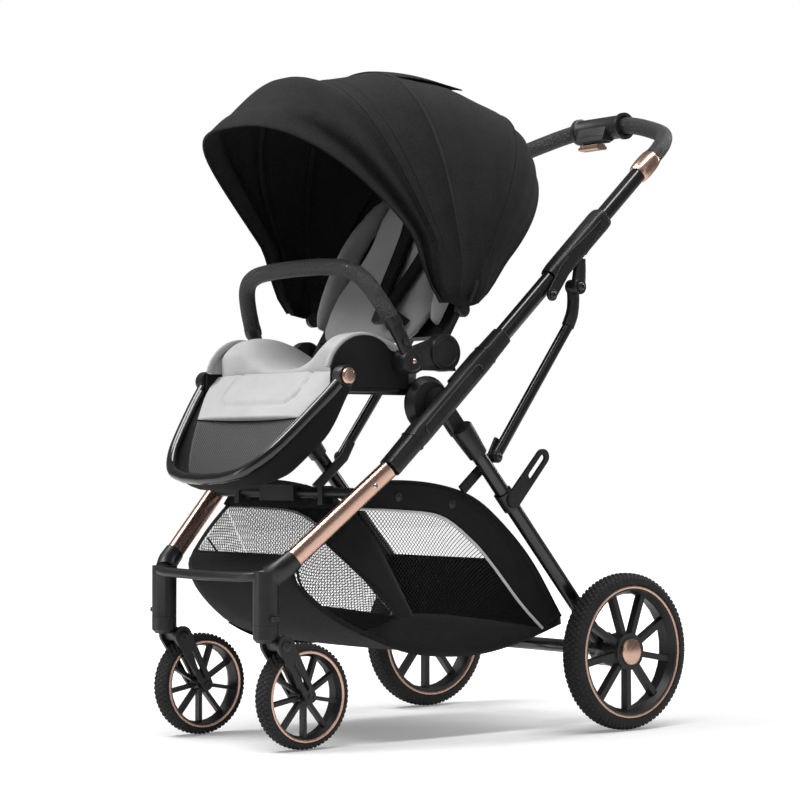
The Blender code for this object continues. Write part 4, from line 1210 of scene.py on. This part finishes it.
# ---- seat -----------------------------------------------------------------------------------
def seat_cushion():
    """The bucket: a low middle between two thigh bolsters that arch along the seat."""
    rings = []
    for i in range(15):
        f = i / 14
        y = -0.250 + 0.162 * f
        arch = math.sin(math.pi * min(1.0, 0.24 + 0.70 * f)) ** 0.7
        front = 0.80 + 0.20 * ease(f / 0.12)
        ring = []
        for j in range(25):
            s = j / 12 - 1
            x = SEAT_HALF * s
            ridge = math.exp(-(min(0.0, abs(x) - 0.118) / 0.046) ** 2)
            outer = 1.0 - 0.16 * ease((abs(x) - 0.142) / 0.018)
            z = SEAT_TOP + front * (0.016 + 0.058 * arch * ridge * outer)
            ring.append(Vector((x, y, z)))
        ring += [Vector((SEAT_HALF * (1 - j / 6), y, SEAT_UNDERSIDE)) for j in range(13)]
        rings.append(ring)
    pad = solid("seat_cushion", rings, GREY_KNIT, "seat", 60)
    inflate(pad, 0.005, 3.0, 0.006)
    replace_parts(pad, "seat_pad")


def backrest_cushion():
    """The hourglass back pad and a wing on each side of it."""
    outline = [(0.105, 0.006), (0.128, 0.030), (0.138, 0.070), (0.135, 0.115), (0.121, 0.165),
               (0.118, 0.220), (0.124, 0.275), (0.115, 0.330), (0.092, 0.366), (0.055, 0.384),
               (0.020, 0.388)]
    curve = smooth([Vector((x, t, 0)) for x, t in outline], 3)
    rings = []
    for p in curve:
        f = p.y / 0.388
        half = 0.0135 * (0.55 + 0.45 * math.sin(math.pi * min(1, max(0.05, f))) ** 0.4)
        ring = []
        for a, b in section(max(p.x, 0.012), half, 40, 3.0):
            hollow = 0.006 * math.exp(-(a / 0.07) ** 2) if b > 0 else 0.0
            ring.append(backrest(a, p.y, 0.0225 + b - hollow))
        rings.append(ring)
    pad = solid("backrest_cushion", rings, GREY_KNIT, "backrest", 60)
    inflate(pad, 0.005, 4.0, 0.007)
    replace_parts(pad, "backrest_pad")
    for side, sign in SIDES:
        rings = []
        for i in range(13):
            f = i / 12
            t = 0.045 + 0.265 * f
            lift = 0.030 * math.sin(math.pi * f) ** 0.7
            path = [(0.1385, 0.008), (0.1500, 0.008), (0.1535, 0.020 + lift),
                    (0.1500, 0.030 + lift), (0.1420, 0.026 + lift)]
            rings.append([flip(backrest(x - 0.010 * ease((f - 0.6) / 0.4), t, off), sign)
                          for x, off in path])
        wing = solid(f"backrest_wing_{side}", rings, GREY_KNIT, "backrest", 60)
        inflate(wing, 0.004, 3.0, 0.004)


STRAP_LINES = {"left": ((0.074, 0.335, 0.0385), (0.076, 0.290, 0.0420), (0.076, 0.220, 0.0430),
                        (0.075, 0.160, 0.0450), (0.066, 0.100, 0.0480), (0.058, 0.060, 0.0500)),
               "right": ((-0.052, 0.335, 0.0385), (-0.034, 0.290, 0.0400), (-0.006, 0.225, 0.0410),
                         (0.010, 0.160, 0.0440), (0.024, 0.100, 0.0480), (0.044, 0.058, 0.0500))}


def harness_parts():
    """Shoulder pads, which hang slack across to the left, the waist strap and the buckle."""
    normal = (backrest(0, 0, 1) - backrest(0, 0, 0)).normalized()
    for side, _ in SIDES:
        path = smooth([backrest(*point) for point in STRAP_LINES[side]], 5)
        last = len(path) - 1
        sizes = [(0.0150 + 0.0020 * math.sin(math.pi * i / last), 0.0034) for i in range(len(path))]
        strap = sweep(f"shoulder_pad_{side}", path, sizes, BLACK_CLOTH, "backrest", sides=24,
                      power=5)
        hem = [p + 0.0036 * normal for p in path]
        for edge in (1, -1):
            cordlike(f"shoulder_hem_{side}_{'outer' if edge > 0 else 'inner'}",
                     [p + edge * 0.0125 * X_AXIS for p in hem], 0.0007, BLACK_CLOTH, "backrest")
    waist = smooth([backrest(x, t, off) for x, t, off in
                    ((0.104, 0.030, 0.0380), (0.090, 0.036, 0.0450), (0.074, 0.042, 0.0500))], 5)
    sweep("waist_strap", waist, (0.0120, 0.0014), BLACK_CLOTH, "backrest",
          lateral=backrest(0, 1, 0) - backrest(0, 0, 0), sides=16, power=6)
    path = [backrest(0.056, t, 0.0540) for t in (0.026, 0.030, 0.046, 0.060, 0.064)]
    sizes = [(0.012, 0.004), (0.017, 0.0060), (0.019, 0.0068), (0.016, 0.0060), (0.011, 0.004)]
    buckle = sweep("harness_buckle", path, sizes, PLASTIC, "backrest", sides=28, power=3.2)
    button = [(0, 0), (0, 0.0075), (0.0014, 0.0072), (0.0020, 0.0050), (0.0020, 0)]
    turned("harness_buckle_button", button, backrest(0.056, 0.045, 0.0605), PLASTIC, "backrest", 32,
           axis=normal)
    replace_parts(buckle, "harness")


def side_guards():
    """Black guards with piped edges, and a light pad along their top."""
    arch = [(-0.205 + 0.068 * math.cos(a), 0.560 + 0.068 * math.sin(a))
            for a in (math.radians(42 + 123 * i / 16) for i in range(17))]
    outline = [(-0.272, 0.549), (-0.118, 0.549), (-0.118, 0.575), (-0.135, 0.600)] + arch
    for side, sign in SIDES:
        low, high = (0.1630, 0.1660) if sign > 0 else (-0.1660, -0.1630)
        guard = slab(f"side_guard_{side}_finish", outline, low, high, BLACK_CLOTH, "seat", 0.0010)
        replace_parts(guard, f"side_guard_{side}")
        edge = smooth([at(p, sign * 0.1652)
                       for p in [(-0.118, 0.578), (-0.135, 0.601)] + arch[::2]], 3)
        cordlike(f"side_guard_piping_{side}", edge, 0.0019, BLACK_CLOTH, "seat")
        lip = smooth([at((y, z + 0.001), sign * 0.1585)
                      for y, z in [(-0.120, 0.575), (-0.137, 0.599)] + arch[::2]], 3)
        facing = [(y, max(z, 0.577)) for y, z in arch[1:]] + [(-0.268, 0.577), (-0.140, 0.577)]
        near, far = sorted((sign * 0.1595, sign * 0.1627))
        lining = slab(f"side_guard_lining_{side}", facing, near, far, GREY_KNIT, "seat", 0.0008)
        trim = sweep(f"side_guard_pad_{side}", lip, (0.0036, 0.0058), GREY_KNIT, "seat", sides=20)


# ---- footrest -------------------------------------------------------------------------------
FOOT_RAIL = [(0.182, 0.0), (0.170, 0.050), (0.146, 0.120), (0.126, 0.160), (0.095, 0.190),
             (0.050, 0.203)]


def footrest_rail():
    """The bent rail, its piping, hubs and button caps."""
    normal = footrest(0, 0, 1) - footrest(0, 0, 0)
    path = mirrored_path(smooth([footrest(x, t) for x, t in FOOT_RAIL], 6) + [footrest(0, 0.206)])
    bar = sweep("footrest_rail", path, (0.0088, 0.0088), ENAMEL, "footrest", lateral=normal,
                sides=28)
    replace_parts(bar, "footrest_frame")
    inner = []
    for p in path[3:-3]:
        inward = -math.copysign(0.0072, p.x) if abs(p.x) > 0.06 else 0.0
        inner.append(p + inward * X_AXIS - 0.0052 * normal)
    cordlike("footrest_piping", inner, 0.0016, PIPING, "footrest")
    for side, sign in SIDES:
        hub = at(FOOTREST_PIVOT, sign * 0.182)
        profile = [(-0.0095, 0), (-0.0095, 0.0150), (-0.0085, 0.0165), (0.0075, 0.0165),
                   (0.0095, 0.0155), (0.0095, 0.0130), (0.0065, 0.0129), (0.0065, 0)]
        turned(f"footrest_hub_{side}", profile, hub, PLASTIC, "footrest", axis=sign * X_AXIS)
        cap = [(0.0099, 0), (0.0099, 0.0124), (0.0124, 0.0125), (0.0140, 0.0112), (0.0149, 0.0070),
               (0.0150, 0)]
        node = f"footrest_button_{side}"
        button = turned(f"footrest_cap_{side}", cap, hub, ROSE_GOLD, body_of(node), 48,
                        axis=sign * X_AXIS)
        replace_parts(button, node)


PANEL_LINE = [(-0.012, 0.004, 0.168), (0.020, 0.001, 0.160), (0.050, 0.001, 0.148),
              (0.081, 0.003, 0.134)]
MESH_LINE = [(0.081, 0.004, 0.134), (0.110, 0.009, 0.124), (0.140, 0.015, 0.112),
             (0.165, 0.020, 0.098), (0.184, 0.022, 0.078)]


def calf_pad():
    """The light pad between the footrest's rails, with a pressed slot."""
    curve = smooth([Vector(p) for p in PANEL_LINE], 8)
    rows = []
    for p in curve:
        row = []
        for j in range(81):
            x = p.z * (j / 40 - 1)
            row.append(footrest(x, p.x, p.y - 0.0045 + slot_groove(x, p.x)
                                + 0.004 * (abs(x) / p.z) ** 6))
        rows.append(row)
    pad = grid("calf_pad", rows, GREY_KNIT, "footrest")
    modifier = pad.modifiers.new("padding", "SOLIDIFY")
    modifier.thickness = 0.009
    modifier.offset = 1.0
    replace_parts(pad, "footrest_panel")


def slot_groove(x, t):
    """Depth of the pressed outline of a rounded slot on the calf pad."""
    half, low, high, corner = 0.098, -0.02, 0.056, 0.026
    qx = abs(x) - (half - corner)
    qt = abs(t - (low + high) / 2) - ((high - low) / 2 - corner)
    distance = math.hypot(max(qx, 0), max(qt, 0)) + min(max(qx, qt), 0) - corner
    return 0.0038 * math.exp(-(distance / 0.0024) ** 2) - 0.0012 * ease(-distance / 0.006)


def footrest_mesh():
    """The spacer mesh below the calf pad, and the cloth wings out to the rail."""
    curve = smooth([Vector(p) for p in MESH_LINE], 5)
    rows = [[footrest(p.z * (j / 16 - 1), p.x, p.y + 0.006 * (1 - (j / 16 - 1) ** 2))
             for j in range(33)] for p in curve]
    below = footrest(0, 0, -0.0012) - footrest(0, 0, 0)
    upward = footrest(0, 0, 1) - footrest(0, 0, 0)
    seam = cordlike("footrest_panel_seam", [p + below for p in rows[0]], 0.0014, BLACK_CLOTH,
                    "footrest")
    panel("footrest_mesh_panel", rows, SPACER, "footrest", 0.0020)
    edge_points = smooth([Vector((t, off, half)) for t, off, half in PANEL_LINE + MESH_LINE[1:]], 4)
    rail_points = resample(smooth([footrest(x, t) for x, t in FOOT_RAIL[:5]], 6), len(edge_points))
    for side, sign in SIDES:
        inner = [footrest(p.z, p.x, p.y + 0.003) for p in edge_points]
        wing_rows = []
        for k in range(6):
            swell = 0.004 * math.sin(math.pi * k / 5) * upward
            wing_rows.append([flip(a.lerp(b, k / 5) + swell, sign)
                              for a, b in zip(inner, rail_points)])
        panel(f"footrest_wing_{side}", wing_rows, BLACK_CLOTH, "footrest", 0.0014)


def footrest_shell():
    """The deep cloth shell behind the footrest, hung from its rail."""
    path = mirrored_path(smooth([footrest(x, t) for x, t in FOOT_RAIL], 6) + [footrest(0, 0.206)])
    rows = []
    for k in range(11):
        f = k / 10
        row = []
        for p in path:
            local = p - Vector((0, FOOTREST_PIVOT[0], FOOTREST_PIVOT[1]))
            t = local.y * math.cos(FOOTREST_ANGLE) + local.z * math.sin(FOOTREST_ANGLE)
            deep = (0.022 + 0.026 * ease((t + 0.01) / 0.10)) * (1 - 0.35 * ease((t - 0.15) / 0.06))
            shrink = 1 - 0.05 * ease(f) - 0.80 * ease((f - 0.55) / 0.45)
            gather = (1 - 0.10 * f * f) * (1 - 0.35 * ease((f - 0.6) / 0.4))
            depth = 0.003 + deep * math.sin(0.5 * math.pi * min(1.0, f / 0.6))
            row.append(footrest(p.x * shrink, 0.02 + (t - 0.02) * gather, depth))
        rows.append(row)
    panel("footrest_shell", rows, BLACK_CLOTH, "footrest", 0.0014)


def footrest_parts():
    footrest_rail()
    calf_pad()
    footrest_mesh()
    footrest_shell()


# ---- small fittings -------------------------------------------------------------------------
def fittings():
    """Rivets of the stays, rings at the recline joint and collars round the hub housings."""
    rivets = (("elbow", ELBOW, 0.2194, 0.0072, "handle"),
              ("knuckle", KNUCKLE, 0.2240, 0.0062, "handle"),
              ("stay_foot", STAY_FOOT, 0.2066, 0.0060, "stays"))
    for side, sign in SIDES:
        for label, place, x, radius, body in rivets:
            screw(f"{label}_rivet_{side}", at(place, sign * x), sign * X_AXIS, radius, body,
                  PLASTIC)
        puck = at(RECLINE_PIVOT, sign * 0.1886)
        ring = [(0, 0.0200), (0.0008, 0.0205), (0.0008, 0.0232), (0, 0.0236)]
        turned(f"recline_ring_{side}", ring, puck, PLASTIC, "seat", 48, True, sign * X_AXIS)
        for label, s, size in (("low", 0.0615, 0.0171), ("high", 0.2630, 0.0166)):
            path = [flip(rail(s + d), sign) for d in (-0.0016, 0, 0.0016)]
            edge = (size - 0.0004, size + 0.0006)
            sweep(f"hub_collar_{label}_{side}", path, [edge, (size, size + 0.0010), edge], PLASTIC,
                  "chassis", sides=36, power=3.5)


# ---- stage ----------------------------------------------------------------------------------
def area_light(name, place, target, size, power, tall=Z_AXIS):
    """A soft rectangle of light facing target; tall is the way its second side runs."""
    data = bpy.data.lights.new(name, "AREA")
    data.shape = "RECTANGLE"
    data.size, data.size_y = size
    data.energy = power
    light = bpy.data.objects.new(name, data)
    bpy.context.scene.collection.objects.link(light)
    light.location = place
    back = (Vector(place) - Vector(target)).normalized()
    up = (tall - tall.dot(back) * back).normalized()
    light.rotation_mode = "QUATERNION"
    light.rotation_quaternion = Matrix((up.cross(back), up, back)).transposed().to_quaternion()


def stage():
    """A pale floor, a soft studio and the camera."""
    mesh = bpy.data.meshes.new("floor")
    mesh.from_pydata([(-9, -9, 0), (9, -9, 0), (9, 9, 0), (-9, 9, 0)], [], [(0, 1, 2, 3)])
    floor = bpy.data.objects.new("floor", mesh)
    floor.location.z = -0.0006
    bpy.context.scene.collection.objects.link(floor)
    f = Finish("studio_floor", (0.86, 0.86, 0.86), 0.55)
    f.link(f.ramp(f.noise(3.0), 0.2, 0.8, (0.85, 0.85, 0.85), (0.88, 0.88, 0.88)), "Base Color")
    f.shader.inputs["Emission Color"].default_value = (1, 1, 1, 1)
    # Painted light: the floor glows for camera rays, dimly near the middle and brightly from 2 m out,
    # and faintly for every ray.
    distance = f.node("VectorMath", {0: f.coords()}, operation="LENGTH").outputs["Value"]
    seen = f.node("LightPath").outputs["Is Camera Ray"]
    glow = f.math("MULTIPLY", f.span(distance, 0.7, 2.0, 0.13, 0.9), seen)
    f.link(f.math("ADD", glow, 0.08), "Emission Strength")
    mesh.materials.append(f.result)
    world = bpy.data.worlds.new("studio")
    world.use_nodes = True
    tree = world.node_tree
    backdrop = tree.nodes["Background"]
    backdrop.inputs["Color"].default_value = (1, 1, 1, 1)
    ray = tree.nodes.new("ShaderNodeLightPath")
    level = tree.nodes.new("ShaderNodeMapRange")
    level.inputs["To Min"].default_value = 0.17
    level.inputs["To Max"].default_value = 1.0
    tree.links.new(ray.outputs["Is Camera Ray"], level.inputs["Value"])
    tree.links.new(level.outputs["Result"], backdrop.inputs["Strength"])
    bpy.context.scene.world = world
    bpy.context.scene.view_settings.view_transform = "Standard"
    middle = (0, SHIFT, 0.55)
    area_light("key", (-0.8, -1.5, 3.1), middle, (1.7, 1.7), 98)
    area_light("back_strip", (0.2, 2.4, 2.3), middle, (0.5, 2.6), 36)
    area_light("side_strip", (2.9, 0.6, 1.2), middle, (0.4, 2.4), 4)
    area_light("top_strip", (0.95, SHIFT - 0.15, 2.75), (0.2, SHIFT + 0.1, 0.8), (0.36, 3.4), 52,
               Y_AXIS)
    area_light("low_strip", (-1.1, -2.7, 0.8), (0, SHIFT, 0.4), (0.3, 1.6), 9)
    data = bpy.data.cameras.new("camera")
    data.lens = 108.0
    data.sensor_width = 36.0
    camera = bpy.data.objects.new("camera", data)
    bpy.context.scene.collection.objects.link(camera)
    target = Vector((0, SHIFT, 0.5362))
    azimuth, elevation, distance = math.radians(50.647), math.radians(-1.4454), 3.938
    back = Vector((math.sin(azimuth) * math.cos(elevation),
                   -math.cos(azimuth) * math.cos(elevation), math.sin(elevation)))
    camera.location = target + distance * back
    camera.rotation_mode = "QUATERNION"
    camera.rotation_quaternion = back.to_track_quat("Z", "Y")
    bpy.context.scene.camera = camera


stage()
hard_parts()
gold_tubes()
push_tubes()
connectors()
rear_legs()
stays()
handle_parts()
bumper_parts()
wheels()
canopy()
basket()
seat_cushion()
backrest_cushion()
harness_parts()
side_guards()
footrest_parts()
fittings()
